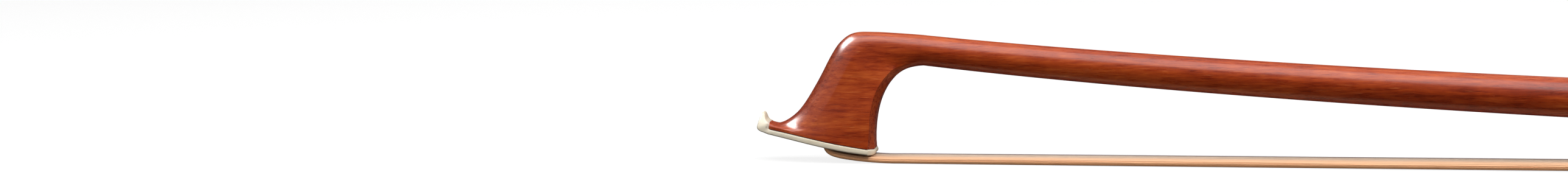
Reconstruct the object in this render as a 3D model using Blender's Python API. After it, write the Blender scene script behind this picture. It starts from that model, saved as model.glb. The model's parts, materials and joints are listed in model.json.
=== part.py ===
# Violin bow, built as the separate pieces that a bow maker fits together.
# Metres, +Z up. +X runs from the head towards the button, with the hair underneath.
# The origin is at half the length, on the mid plane, level with the hair's lowest line.
import math

import bmesh
import bpy
from mathutils import Matrix, Vector

# Clearances
FIT = 0.0003                 # between pieces that are fitted or that slide
GLUE = 0.0001                # between flat pieces that are glued face to face

# Stick, along the bow from the heel of the head
STICK_REACH = 0.705          # heel of the head to the end of the stick
LOW_AT = 0.260               # heel to the lowest point of the camber
CAMBER_END = 0.518           # heel to the start of the straight handle
LOW_HEIGHT = 0.0095          # axis over the hair's lowest line, at the lowest point
HANDLE_ACROSS = 0.0086       # octagonal handle, across flats
NECK_ACROSS = 0.0056         # round stick behind the head
TAPER_LENGTH = 0.165         # distance over which most of the taper happens
FACET_LENGTH = 0.118         # length of the full octagon, from the stick's end
ROUNDING_LENGTH = 0.030      # octagon to round
NECK_AT = 0.008              # heel to the first ring of the head
NECK_DROP = 0.0034           # head's top over the axis at the neck
NECK_SWEEP = 0.00078         # extra rise of the axis close to the head
NECK_SWEEP_LENGTH = 0.022
NIPPLE_RADIUS = 0.0024       # turned end that seats in the button
NIPPLE_LENGTH = 0.0016

# Head and its plate
HEAD_HEIGHT = 0.0239         # top of the head over the hair's lowest line
HEAD_LENGTH = 0.0219         # heel to the wood's front end
HEAD_WIDTH = 0.0056          # across the cheeks
CHAMFER = 0.0012             # bevels beside the rear face
PLATE_HEEL_HEIGHT = 0.00125  # plate's lower face over the hair's lowest line, at the heel
PLATE_SLOPE = 0.17           # rise of the plate per length, towards the beak
PLATE_THICKNESS = 0.0010
PLATE_WIDTH = 0.0100
PLATE_REAR = 0.0011          # heel to the plate's rear edge
PLATE_CORNER_LENGTH = 0.0011
PLATE_CORNER_WIDTH = 0.0023
LINER_THICKNESS = 0.00035
BEAK_REACH = 0.0236          # heel to the beak's outer face
BEAK_HEIGHT = 0.0038         # beak's tip over the plate's lower face
BEAK_WIDTH = 0.0038
TIP_MORTISE_FRONT = 0.0109   # heel to the mortise's front wall
TIP_MORTISE_LENGTH = 0.0084
TIP_MORTISE_WIDTH = 0.0084   # at the plate's lower face
TIP_MORTISE_ROOF_WIDTH = 0.0044
TIP_MORTISE_DEPTH = 0.0048   # into the wood

# Hair
HAIR_WIDTH_HEAD = 0.0080
HAIR_WIDTH_FERRULE = 0.0104
HAIR_WIDTH_FROG = 0.0064
HAIR_THICK_HEAD = 0.0010
HAIR_THICK_FERRULE = 0.0013
HAIR_RIDGES = 7              # bunches of strands that show across the hank
KNOT_RADIUS = 0.0014
TIP_KNOT_RADIUS = 0.0011

# Frog, along the handle from the end of the stick, and up from the ferrule's underside
AXIS_DROP = 0.0213           # handle's axis over the ferrule's underside
FROG_REAR = 0.0070
FROG_LENGTH = 0.0400         # along the stick
FROG_TOP_WIDTH = 0.0114
FROG_WIDTH = 0.0130          # at the underside, and across the ferrule
LINING_THICKNESS = 0.00035
THROAT_BACK = 0.0400         # end of the stick to the innermost point of the throat
THROAT_HEIGHT = 0.0054
FERRULE_REAR = 0.0440
FERRULE_LENGTH = 0.0105
FERRULE_HEIGHT = 0.0078
FERRULE_SIDE = 0.0030        # straight part of its sides
FERRULE_WALL = 0.0005
WEDGE_LENGTH = 0.0070
WEDGE_THICKNESS = 0.0011
CHANNEL_HEIGHT = 0.0034      # roof of the hair's channel over the ferrule's underside
CHANNEL_WIDTH = 0.0076
FROG_MORTISE_REAR = 0.0225
FROG_MORTISE_LENGTH = 0.0100
FROG_MORTISE_HEIGHT = 0.0098
PEARL_THICKNESS = 0.0007
BACKING_THICKNESS = 0.0009
SLIDE_REAR = 0.0152
HEEL_PLATE_THICKNESS = 0.0005
HEEL_CHAMFER = 0.0020        # bevels down the two rear corners
HEEL_PLATE_SPLIT = 0.0110    # joint of the two plates over the ferrule's underside
EYE_AT = 0.0270
EYE_HEIGHT = 0.0108
EYE_RADIUS = 0.0029
EYE_RING_WIDTH = 0.0008
EYE_DEPTH = 0.0010
PIN_RADIUS = 0.00045
PIN_LENGTH = 0.0022

# Screw, eyelet and button
SCREW_RADIUS = 0.0014        # over the thread
THREAD_PITCH = 0.0007
THREAD_DEPTH = 0.00025
THREAD_START = 0.0180        # end of the stick to the first turn
THREAD_TURNS = 26
SCREW_REACH = 0.0760         # end of the stick to the screw's front end
BORE_CLEARANCE = 0.0002
EYELET_AT = 0.0270
EYELET_LENGTH = 0.0040
EYELET_WIDTH = 0.0044
EYELET_RADIUS = 0.0027
SLOT_LENGTH = 0.0180         # travel slot for the eyelet
BUTTON_LENGTH = 0.0125
BUTTON_RING_LENGTH = 0.0034
BUTTON_SPIGOT_RADIUS = 0.00345
BUTTON_EYE_RADIUS = 0.0019
BUTTON_EYE_DEPTH = 0.0008

# Grip and lapping, from the end of the stick
GRIP_START = 0.0526
GRIP_LENGTH = 0.0316
GRIP_THICKNESS = 0.0009
LAPPING_LENGTH = 0.0740
LAPPING_THICKNESS = 0.00035
TINSEL_LOOPS = 12
TINSEL_PITCH = 0.0058
TINSEL_RADIUS = 0.00025
TINSEL_POINTS = 24           # points in each loop

RING_POINTS = 32             # points round the stick and the head
HALF_RING = RING_POINTS // 2
TAN_OCTANT = math.tan(math.pi / 8)

# Outlines of the head, from the neck to the beak. Each point is a share of the head's length
# and a share of the height between the plate's seat and the head's top.
FRONT_OUTLINE = ((0.160, 0.9885), (-0.068, 1.0), (-0.237, 0.991), (-0.347, 0.915),
                 (-0.429, 0.786), (-0.548, 0.522), (-0.676, 0.265), (-0.785, 0.117),
                 (-0.895, 0.042), (-0.990, 0.062))
REAR_OUTLINE = ((0.256, 0.7066), (0.190, 0.680), (0.138, 0.643), (0.091, 0.595),
                (0.052, 0.541), (0.012, 0.464), (-0.020, 0.375), (-0.042, 0.282),
                (-0.055, 0.190), (-0.062, 0.103))
REAR_FLARE = (-0.062, 0.035)
REAR_FOOT = 0.058            # heel to the wood's rear edge on the liner, same share
# How the section changes over the same stations, the neck and the plate's seat included
ROUNDNESS = (1.0, 0.8, 0.45, 0.15, 0, 0, 0, 0, 0, 0, 0, 0, 0)
FLARE = (0, 0, 0, 0, 0, 0.01, 0.03, 0.08, 0.17, 0.32, 0.55, 0.80, 1.0)
BEVEL = (0, 0.3, 0.7, 1.0, 1.0, 1.0, 1.0, 0.9, 0.75, 0.6, 0.55, 0.65, 0.8)
CURL = (1, 1, 1, 1, 1, 1, 1, 1, 1, 2.5, 8, 8, 1)
# Front of the section from the ridge back to the cheek: share of the depth, share of the width
RIDGE = ((1.0, 0.0), (0.985, 0.30), (0.95, 0.55), (0.89, 0.78), (0.80, 0.93), (0.68, 1.0))
BLUNT = ((1.0, 0.0), (1.0, 0.5), (1.0, 1.0), (0.93, 1.0), (0.83, 1.0), (0.70, 1.0))
CHEEK_POINT = 5              # ring point where the cheek begins
BEVEL_POINT = 12             # ring point where the bevel begins

LENGTH = STICK_REACH + BUTTON_LENGTH + BEAK_REACH
HEEL_X = BEAK_REACH - LENGTH / 2
MOUTH = FERRULE_REAR + FERRULE_LENGTH
HANDLE_HALF = HANDLE_ACROSS / 2
AXIS_RISE = AXIS_DROP - LOW_HEIGHT
HANDLE_SLOPE = AXIS_RISE / ((CAMBER_END - LOW_AT) / 2 + STICK_REACH - MOUTH - CAMBER_END)
HANDLE_ANGLE = math.atan(HANDLE_SLOPE)


def lerp(a, b, t):
    return a + (b - a) * t


def clear_scene():
    for obj in list(bpy.data.objects):
        bpy.data.objects.remove(obj, do_unlink=True)


def new_collection(name):
    group = bpy.data.collections.new(name)
    bpy.context.scene.collection.children.link(group)
    return group


clear_scene()
BOW = new_collection("violin_bow")
CUTTERS = new_collection("cutters")


def finish_material(name, colour, roughness, metallic=0.0):
    mat = bpy.data.materials.new(name)
    mat.use_nodes = True
    shader = mat.node_tree.nodes["Principled BSDF"]
    shader.inputs["Base Color"].default_value = (*colour, 1.0)
    shader.inputs["Roughness"].default_value = roughness
    shader.inputs["Metallic"].default_value = metallic
    mat.diffuse_color = (*colour, 1.0)
    return mat


PERNAMBUCO = finish_material("pernambuco", (0.30, 0.045, 0.012), 0.25)
BONE = finish_material("bone", (0.83, 0.76, 0.60), 0.35)
EBONY = finish_material("ebony", (0.012, 0.009, 0.008), 0.28)
LINER_BLACK = finish_material("liner_black", (0.05, 0.02, 0.02), 0.4)
HORSEHAIR = finish_material("horsehair", (0.80, 0.66, 0.45), 0.45)
THREAD = finish_material("tied_thread", (0.55, 0.20, 0.10), 0.7)
SOFTWOOD = finish_material("plug_wood", (0.62, 0.42, 0.22), 0.6)
SILVER = finish_material("silver", (0.83, 0.82, 0.79), 0.22, 1.0)
PEARL = finish_material("pearl", (0.78, 0.80, 0.78), 0.18)
LEATHER = finish_material("leather", (0.045, 0.022, 0.015), 0.6)
SILK = finish_material("silk", (0.16, 0.03, 0.03), 0.5)
STEEL = finish_material("steel", (0.48, 0.48, 0.50), 0.3, 1.0)
BRASS = finish_material("brass", (0.72, 0.52, 0.20), 0.3, 1.0)


def show(obj, mat, group=BOW, smooth_angle=None):
    for other in list(obj.users_collection):
        other.objects.unlink(obj)
    group.objects.link(obj)
    if mat:
        obj.data.materials.clear()
        obj.data.materials.append(mat)
    if smooth_angle:
        obj.data.shade_smooth()
        obj.data.set_sharp_from_angle(angle=math.radians(smooth_angle))
    return obj


def mesh_object(name, points, faces, mat=None, group=BOW, smooth_angle=None):
    mesh = bpy.data.meshes.new(name)
    mesh.from_pydata([tuple(p) for p in points], [], faces)
    build = bmesh.new()
    build.from_mesh(mesh)
    bmesh.ops.recalc_face_normals(build, faces=build.faces)
    build.to_mesh(mesh)
    build.free()
    return show(bpy.data.objects.new(name, mesh), mat, group, smooth_angle)


def loft(name, rings, mat=None, group=BOW, smooth_angle=None, closed=False):
    # A skin over rings of equal counts, with flat ends, or closed into a loop of rings
    count = len(rings[0])
    points = [p for ring in rings for p in ring]
    faces = []
    pairs = len(rings) if closed else len(rings) - 1
    for r in range(pairs):
        a = r * count
        b = (r + 1) % len(rings) * count
        for i in range(count):
            j = (i + 1) % count
            faces.append((a + i, a + j, b + j, b + i))
    if not closed:
        faces.append(tuple(range(count)))
        faces.append(tuple((len(rings) - 1) * count + i for i in range(count)))
    return mesh_object(name, points, faces, mat, group, smooth_angle)


def as_mesh(obj):
    # The evaluated curve as a welded mesh object in the same place
    bpy.context.view_layer.update()
    evaluated = obj.evaluated_get(bpy.context.evaluated_depsgraph_get())
    mesh = bpy.data.meshes.new_from_object(evaluated)
    build = bmesh.new()
    build.from_mesh(mesh)
    bmesh.ops.remove_doubles(build, verts=build.verts, dist=1e-6)
    bmesh.ops.recalc_face_normals(build, faces=build.faces)
    build.to_mesh(mesh)
    build.free()
    solid = bpy.data.objects.new(obj.name, mesh)
    solid.matrix_world = obj.matrix_world.copy()
    name = obj.name
    bpy.data.objects.remove(obj, do_unlink=True)
    solid.name = name
    return solid


def outline_solid(name, outline, half_thickness, turn, mat=None, group=BOW, smooth_angle=None):
    # A flat outline with a thickness, turned to stand across the bow
    curve = bpy.data.curves.new(name, "CURVE")
    curve.dimensions = "2D"
    curve.fill_mode = "BOTH"
    curve.extrude = half_thickness
    line = curve.splines.new("POLY")
    line.points.add(len(outline) - 1)
    for point, (a, b) in zip(line.points, outline):
        point.co = (a, b, 0, 1)
    line.use_cyclic_u = True
    obj = bpy.data.objects.new(name, curve)
    bpy.context.scene.collection.objects.link(obj)
    solid = as_mesh(obj)
    solid.data.transform(turn)
    return show(solid, mat, group, smooth_angle)


SIDE_ON = Matrix.Rotation(math.pi / 2, 4, "X")       # outline in X and Z, thick in Y
END_ON = Matrix(((0, 0, 1, 0), (1, 0, 0, 0), (0, 1, 0, 0), (0, 0, 0, 1)))  # in Y and Z, thick in X
FLAT_DOWN = Matrix.Identity(4)                       # outline in X and Y, thick in Z


def rod(name, radius, start, end, axis="X", sides=24, mat=None, group=BOW, smooth_angle=None):
    # A cylinder between two places on an axis, given as its centre line's two ends
    start = Vector(start)
    end = Vector(end)
    mesh = bpy.data.meshes.new(name)
    build = bmesh.new()
    bmesh.ops.create_cone(build, cap_ends=True, segments=sides, radius1=radius,
                          radius2=radius, depth=(end - start).length)
    turn = {"X": Matrix.Rotation(math.pi / 2, 4, "Y"), "Z": Matrix.Identity(4),
            "Y": Matrix.Rotation(math.pi / 2, 4, "X")}[axis]
    bmesh.ops.transform(build, matrix=Matrix.Translation((start + end) / 2) @ turn,
                        verts=build.verts)
    build.to_mesh(mesh)
    build.free()
    return show(bpy.data.objects.new(name, mesh), mat, group, smooth_angle)


def block(name, low, high, mat=None, group=BOW):
    low = Vector(low)
    high = Vector(high)
    mesh = bpy.data.meshes.new(name)
    build = bmesh.new()
    bmesh.ops.create_cube(build, size=1.0)
    size = high - low
    bmesh.ops.scale(build, vec=size, verts=build.verts)
    bmesh.ops.translate(build, vec=(low + high) / 2, verts=build.verts)
    build.to_mesh(mesh)
    build.free()
    return show(bpy.data.objects.new(name, mesh), mat, group)


def under(child, parent):
    child.parent = parent
    return child


def combine(obj, tool, operation="DIFFERENCE"):
    tool.hide_render = True
    tool.display_type = "WIRE"
    mod = obj.modifiers.new(operation.lower() + "_" + tool.name, "BOOLEAN")
    mod.operation = operation
    mod.object = tool
    mod.solver = "EXACT"
    return mod


# The stick's line

def stick_axis(s):
    # Height and slope of the axis at a distance from the head's heel
    if s >= LOW_AT:
        bend = HANDLE_SLOPE / (CAMBER_END - LOW_AT)
        curved = min(s, CAMBER_END) - LOW_AT
        straight = max(0.0, s - CAMBER_END)
        return LOW_HEIGHT + bend * curved ** 2 / 2 + HANDLE_SLOPE * straight, bend * curved
    sweep = NECK_SWEEP * math.exp(-s / NECK_SWEEP_LENGTH)
    sweep_at_neck = NECK_SWEEP * math.exp(-NECK_AT / NECK_SWEEP_LENGTH)
    rise = HEAD_HEIGHT - NECK_DROP - LOW_HEIGHT - sweep_at_neck
    bend = 2 * rise / (LOW_AT - NECK_AT) ** 2
    back = LOW_AT - s
    return LOW_HEIGHT + bend * back ** 2 / 2 + sweep, -bend * back - sweep / NECK_SWEEP_LENGTH


def stick_half(s):
    # Half the thickness across flats at a distance from the heel
    lost = (HANDLE_ACROSS - NECK_ACROSS) * math.exp(-(s - NECK_AT) / TAPER_LENGTH)
    return (HANDLE_ACROSS - lost) / 2


def roundness(s):
    start = STICK_REACH - FACET_LENGTH
    return min(1.0, max(0.0, (start - s) / ROUNDING_LENGTH))


def stick_radius(s, angle):
    # Radius of the section in a direction measured round from the top
    facet = (angle + math.pi / 8) % (math.pi / 4) - math.pi / 8
    half = stick_half(s)
    return lerp(half / math.cos(facet), half, roundness(s))


def stick_point(s, angle, offset=0.0):
    # A point of the section, lifted off the wood by an offset
    height, slope = stick_axis(s)
    tilt = math.atan(slope)
    radius = stick_radius(s, angle) + offset
    up = radius * math.cos(angle)
    return Vector((HEEL_X + s - up * math.sin(tilt), radius * math.sin(angle),
                   height + up * math.cos(tilt)))


def stick_ring(s, offset=0.0, count=RING_POINTS):
    return [stick_point(s, 2 * math.pi * i / count, offset) for i in range(count)]


# Frame of the straight handle: x towards the button, z away from the hair, origin at the stick's end
END_HEIGHT = stick_axis(STICK_REACH)[0]
HANDLE = bpy.data.objects.new("handle_axis", None)
BOW.objects.link(HANDLE)
HANDLE.location = (HEEL_X + STICK_REACH, 0, END_HEIGHT)
HANDLE.rotation_euler = (0, -HANDLE_ANGLE, 0)


def seat_height(x):
    # Upper face of the liner, where the head's wood sits, at a distance from the heel
    stack = PLATE_THICKNESS + LINER_THICKNESS + 2 * GLUE
    return PLATE_HEEL_HEIGHT + stack - PLATE_SLOPE * x


def plate_half(x):
    # Half the plate's width at a distance from the heel, negative towards the beak
    share = min(1.0, max(0.0, -x / BEAK_REACH))
    return lerp(PLATE_WIDTH, BEAK_WIDTH, share ** 3.2) / 2


# Head of the stick

def head_station_points():
    height, slope = stick_axis(NECK_AT)
    half = stick_half(NECK_AT)
    neck_front = (NECK_AT - half * slope, height + half)
    neck_rear = (NECK_AT + half * slope, height - half)

    def placed(share):
        x = share[0] * HEAD_LENGTH
        return (x, lerp(seat_height(x), HEAD_HEIGHT, share[1]))

    front = [neck_front] + [placed(p) for p in FRONT_OUTLINE]
    rear = [neck_rear] + [placed(p) for p in REAR_OUTLINE]
    corner = (-HEAD_LENGTH, seat_height(-HEAD_LENGTH))
    front.append((lerp(front[-1][0], corner[0], 0.6), lerp(front[-1][1], corner[1], 0.6)))
    front.append(corner)
    rear.append(placed(REAR_FLARE))
    foot = -REAR_FOOT * HEAD_LENGTH
    rear.append((foot, seat_height(foot)))
    return front, rear


def through(values, t):
    # A smooth curve through values at whole numbers, straight over the last two spans
    last = len(values) - 1
    i = min(int(t), last - 1)
    f = t - i
    if i >= last - 2:
        return lerp(values[i], values[i + 1], f)
    a = values[max(i - 1, 0)]
    b, c = values[i], values[i + 1]
    d = values[min(i + 2, last - 2)]
    return b + 0.5 * f * (c - a + f * (2 * a - 5 * b + 4 * c - d + f * (3 * (b - c) + d - a)))


def head_ring(front, rear, t):
    fx = through([p[0] for p in front], t)
    fz = through([p[1] for p in front], t)
    rx = through([p[0] for p in rear], t)
    rz = through([p[1] for p in rear], t)
    flare = through(FLARE, t)
    roundish = through(ROUNDNESS, t)
    curl = through(CURL, t)
    bevel = CHAMFER * through(BEVEL, t)
    depth = math.hypot(fx - rx, fz - rz)
    seat = seat_height(fx) if curl > 1 else fz

    def place(u, w):
        x = lerp(rx, fx, u)
        z = lerp(rz, seat, u) + (fz - seat) * u ** curl
        return (HEEL_X + x, w, z)

    def cheek(u):
        upper = HEAD_WIDTH / 2 * (1 - 0.25 * (1 - roundish) * u * u)
        return lerp(upper, plate_half(lerp(rx, fx, u)), flare)

    half = []
    corner_u = bevel / depth
    for i in range(HALF_RING + 1):
        if i <= CHEEK_POINT:
            u = lerp(RIDGE[i][0], BLUNT[i][0], flare)
            w = cheek(u) * lerp(RIDGE[i][1], BLUNT[i][1], flare)
        elif i <= BEVEL_POINT:
            share = (i - CHEEK_POINT) / (BEVEL_POINT - CHEEK_POINT)
            u = lerp(lerp(RIDGE[-1][0], BLUNT[-1][0], flare), corner_u, share)
            w = cheek(u)
        else:
            share = (i - BEVEL_POINT) / 2
            u = corner_u * max(0.0, 1 - share)
            w = lerp(cheek(0), HEAD_WIDTH / 2 - bevel / 2, min(1.0, share))
            w *= min(1.0, (HALF_RING - i) / 2)
        angle = math.pi * i / HALF_RING
        u = lerp(u, (1 + math.cos(angle)) / 2, roundish)
        w = lerp(w, HEAD_WIDTH / 2 * math.sin(angle), roundish)
        half.append(place(u, w))
    other = [(x, -y, z) for x, y, z in half[-2:0:-1]]
    return half + other


def make_stick():
    front, rear = head_station_points()
    facet_end = STICK_REACH - FACET_LENGTH
    places = [STICK_REACH, facet_end, facet_end - ROUNDING_LENGTH / 2, facet_end - ROUNDING_LENGTH]
    spans = 18
    start = places[-1]
    places += [lerp(start, NECK_AT, (i + 1) / spans) for i in range(spans - 1)]
    rings = [stick_ring(s) for s in places]
    steps = 2
    stations = len(front) - 1
    smooth_until = stations - 2
    marks = [i / steps for i in range(smooth_until * steps + 1)]
    marks += [smooth_until + 1, stations]
    rings += [head_ring(front, rear, t) for t in marks]
    stick = loft("stick", rings, PERNAMBUCO, smooth_angle=35)

    nipple = rod("nipple_shape", NIPPLE_RADIUS, (-0.002, 0, 0), (NIPPLE_LENGTH, 0, 0),
                 group=CUTTERS)
    combine(stick, under(nipple, HANDLE), "UNION")
    bore = rod("screw_bore", SCREW_RADIUS + BORE_CLEARANCE, (-SCREW_REACH - 0.002, 0, 0),
               (0.01, 0, 0), group=CUTTERS)
    combine(stick, under(bore, HANDLE))
    slot_half = EYELET_WIDTH / 2 + FIT
    middle = -EYELET_AT
    slot = block("eyelet_slot", (middle - SLOT_LENGTH / 2, -slot_half, -HANDLE_ACROSS),
                 (middle + SLOT_LENGTH / 2, slot_half, EYELET_RADIUS + FIT), group=CUTTERS)
    combine(stick, under(slot, HANDLE))
    combine(stick, tip_mortise_cutter("head_mortise"))
    return stick


# The head's mortise narrows upwards, and its front and rear walls lean in
TIP_MIDDLE = -TIP_MORTISE_FRONT + TIP_MORTISE_LENGTH / 2
TIP_MOUTH_HEIGHT = PLATE_HEEL_HEIGHT - PLATE_SLOPE * TIP_MIDDLE
TIP_ROOF_HEIGHT = seat_height(TIP_MIDDLE) + TIP_MORTISE_DEPTH
TIP_DRAFT = 0.0004


def tip_mortise_half(z):
    # Half the mortise's width at a height
    share = (z - TIP_MOUTH_HEIGHT) / (TIP_ROOF_HEIGHT - TIP_MOUTH_HEIGHT)
    return lerp(TIP_MORTISE_WIDTH, TIP_MORTISE_ROOF_WIDTH, share) / 2


def tapered_block(name, low, high, mat=None, group=BOW):
    # A block between two levels, each given as x from, x to, half the width, and height
    rings = []
    for x_from, x_to, half, z in (low, high):
        rings.append([(HEEL_X + x_from, -half, z), (HEEL_X + x_to, -half, z),
                      (HEEL_X + x_to, half, z), (HEEL_X + x_from, half, z)])
    return loft(name, rings, mat, group)


def tip_mortise_cutter(name):
    front = -TIP_MORTISE_FRONT
    back = front + TIP_MORTISE_LENGTH
    return tapered_block(name, (front, back, tip_mortise_half(0), 0),
                         (front + TIP_DRAFT, back - TIP_DRAFT, TIP_MORTISE_ROOF_WIDTH / 2,
                          TIP_ROOF_HEIGHT), group=CUTTERS)


# Plate, liner and what is wedged in the head

def plate_line(x, lift=0.0):
    return PLATE_HEEL_HEIGHT - PLATE_SLOPE * x + lift


def plan_outline(front, back, inset=0.0):
    # The plate seen from below, with its two corners at the heel cut off
    steps = 12
    shoulder = back - PLATE_CORNER_LENGTH
    side = [(HEEL_X + back, plate_half(back) - PLATE_CORNER_WIDTH - inset)]
    for i in range(steps + 1):
        x = lerp(shoulder, front, i / steps)
        side.append((HEEL_X + x, plate_half(x) - inset))
    return side + [(x, -y) for x, y in reversed(side)]


def make_tip_plate():
    # Side outline of the plate and of the beak that turns up over the wood's front end
    foot = -BEAK_REACH
    rear = -PLATE_REAR
    round_off = 0.0004
    eased = rear - round_off
    top = plate_line(foot) + BEAK_HEIGHT
    inner = -HEAD_LENGTH - GLUE
    lean = 0.0009
    rise = PLATE_THICKNESS
    outline = [(rear, plate_line(rear, rise / 2)), (eased, plate_line(eased)),
               (foot + 1.5 * round_off, plate_line(foot + 1.5 * round_off)),
               (foot + 0.4 * round_off, plate_line(foot) + 0.3 * round_off),
               (foot, plate_line(foot) + 1.6 * round_off),
               (foot + lean, top - 0.0004), (foot + lean + 0.0002, top - 0.0001),
               (foot + lean + 0.0004, top), (inner - 0.00015, top - 0.0002),
               (inner, top - 0.0006), (inner, plate_line(inner, rise)),
               (rear - round_off / 2, plate_line(rear - round_off / 2, rise))]
    shifted = [(HEEL_X + x, z) for x, z in outline]
    plate = outline_solid("tip_plate", shifted, PLATE_WIDTH, SIDE_ON, BONE)
    plan = outline_solid("plate_plan", plan_outline(-BEAK_REACH - 0.001, rear), HEAD_HEIGHT,
                         FLAT_DOWN, group=CUTTERS)
    combine(plate, plan, "INTERSECT")
    combine(plate, tip_mortise_cutter("plate_mortise"))
    return plate


def make_tip_liner():
    lift = PLATE_THICKNESS + GLUE
    front = -HEAD_LENGTH
    back = -PLATE_REAR - 0.0002
    outline = [(back, plate_line(back, lift)), (front, plate_line(front, lift)),
               (front, plate_line(front, lift + LINER_THICKNESS)),
               (back, plate_line(back, lift + LINER_THICKNESS))]
    shifted = [(HEEL_X + x, z) for x, z in outline]
    liner = outline_solid("tip_liner", shifted, PLATE_WIDTH, SIDE_ON, LINER_BLACK)
    plan = outline_solid("liner_plan", plan_outline(-HEAD_LENGTH - 0.001, back, 0.00005),
                         HEAD_HEIGHT, FLAT_DOWN, group=CUTTERS)
    combine(liner, plan, "INTERSECT")
    combine(liner, tip_mortise_cutter("liner_mortise"))
    return liner


def tip_hair_line():
    # Middle of the hank inside the head, down the mortise's front wall and round under the plug
    wall = -TIP_MORTISE_FRONT + FIT + TIP_DRAFT + HAIR_THICK_HEAD / 2
    exit_height = plate_line(-TIP_MORTISE_FRONT)
    half = HAIR_THICK_HEAD / 2
    return [(wall, exit_height + 0.0026), (wall - 0.00005, exit_height + 0.0012),
            (wall - 0.00025, exit_height + 0.0002), (wall - 0.0002, exit_height - 0.0004),
            (wall + 0.0003, exit_height - 0.0010), (wall + 0.0015, exit_height - 0.0015),
            (wall + 0.0044, half + 0.00054), (wall + 0.0072, half + 0.00020), (0.001, half)]


def make_tip_filling():
    wall_x, top_z = tip_hair_line()[0]
    knot_z = top_z + FIT + TIP_KNOT_RADIUS
    knot_half = tip_mortise_half(knot_z + TIP_KNOT_RADIUS) - FIT
    knot_x = wall_x + TIP_KNOT_RADIUS - HAIR_THICK_HEAD / 2
    rod("tip_hair_knot", TIP_KNOT_RADIUS, (HEEL_X + knot_x, -knot_half, knot_z),
        (HEEL_X + knot_x, knot_half, knot_z), "Y", 20, THREAD, smooth_angle=40)
    front = wall_x + HAIR_THICK_HEAD / 2 + FIT
    back = -TIP_MORTISE_FRONT + TIP_MORTISE_LENGTH - TIP_DRAFT - FIT
    low = TIP_MOUTH_HEIGHT
    high = top_z - FIT
    ease = 0.0008
    plug = tapered_block("tip_plug", (front + ease, back, tip_mortise_half(low) - FIT, low),
                         (front, back, tip_mortise_half(high) - FIT, high), SOFTWOOD)
    # The plug's face follows the plate, and its front edge is eased for the hair
    for vertex in plug.data.vertices:
        if vertex.co.z < low + 0.0001:
            vertex.co.z = plate_line(vertex.co.x - HEEL_X, GLUE)


# Frog pieces are placed by the distance e from the stick's end and the height h over the
# ferrule's underside.
def at(e, h):
    return (-e, h - AXIS_DROP)


FROG = bpy.data.objects.new("frog_axis", None)
BOW.objects.link(FROG)
FROG.parent = HANDLE
FROG.location = (-EYELET_AT, 0, 0)


def on_frog(obj):
    # The frog's pieces move with an empty at the eyelet, on the handle's axis
    obj.data.transform(Matrix.Translation((EYELET_AT, 0, 0)))
    obj.parent = FROG
    return obj


def frog_half(h):
    top = AXIS_DROP - HANDLE_HALF * TAN_OCTANT
    return lerp(FROG_WIDTH, FROG_TOP_WIDTH, h / top) / 2


def d_outline(half_width, height, side, base=0.0, corner=0.0004):
    # Flat underside, short straight sides and a round arch, cut off below the base
    def half_at(h):
        share = max(0.0, (h - side) / (height - side))
        return half_width * math.sqrt(1 - share ** 2)

    foot = base + corner
    points = [(half_at(base) - corner, base), (half_at(foot), foot)]
    steps = 16
    for i in range(steps + 1):
        a = math.pi * i / steps
        h = side + (height - side) * math.sin(a)
        if h > foot + corner / 2:
            points.append((half_width * math.cos(a), h))
    points += [(-half_at(foot), foot), (-half_at(base) + corner, base)]
    return [(y, h - AXIS_DROP) for y, h in points]


def along(outline, e_start, e_end, name, mat=None, group=BOW, smooth_angle=None):
    # An end-on outline drawn along the handle between two distances from the stick's end
    solid = outline_solid(name, outline, abs(e_end - e_start) / 2, END_ON, mat, group, smooth_angle)
    solid.data.transform(Matrix.Translation((-(e_start + e_end) / 2, 0, 0)))
    return solid


def octagon(half):
    points = []
    for i in range(8):
        a = math.pi / 8 + i * math.pi / 4
        radius = half / math.cos(math.pi / 8)
        points.append((radius * math.sin(a), radius * math.cos(a)))
    return points


LINING_INNER = HANDLE_HALF + FIT
LINING_OUTER = LINING_INNER + LINING_THICKNESS
CHANNEL_HALF = LINING_OUTER + GLUE
FROG_FRONT = FROG_REAR + FROG_LENGTH
SLIDE_BASE = 0.00005
BLOCK_BASE = 0.0002
PEARL_TOP = SLIDE_BASE + PEARL_THICKNESS
BACKING_TOP = PEARL_TOP + GLUE + BACKING_THICKNESS
HEEL_PLATE_BACK = SLIDE_BASE + HEEL_PLATE_THICKNESS + GLUE


def frog_side_outline():
    # Side of the ebony block: back, top, thumb and the throat's curve down to the ferrule
    top = AXIS_DROP - HANDLE_HALF * TAN_OCTANT
    thumb = 0.0034
    roof = AXIS_DROP - HANDLE_HALF - thumb
    floor = roof - THROAT_HEIGHT
    shoulder = FERRULE_REAR - GLUE
    outline = [(FROG_REAR, BLOCK_BASE), (FROG_REAR, top), (FROG_FRONT, top),
               (FROG_FRONT, roof + 0.0016), (FROG_FRONT - 0.0005, roof + 0.0005)]
    centre_e = THROAT_BACK + 0.0052
    steps = 14
    for i in range(steps + 1):
        a = math.pi * i / steps
        e = centre_e - (centre_e - THROAT_BACK) * math.sin(a)
        h = (roof + floor) / 2 + THROAT_HEIGHT / 2 * math.cos(a)
        if e < shoulder or i < steps / 2:
            outline.append((e, h))
    outline += [(shoulder, FERRULE_HEIGHT), (shoulder, BLOCK_BASE)]
    return [at(e, h) for e, h in outline]


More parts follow.
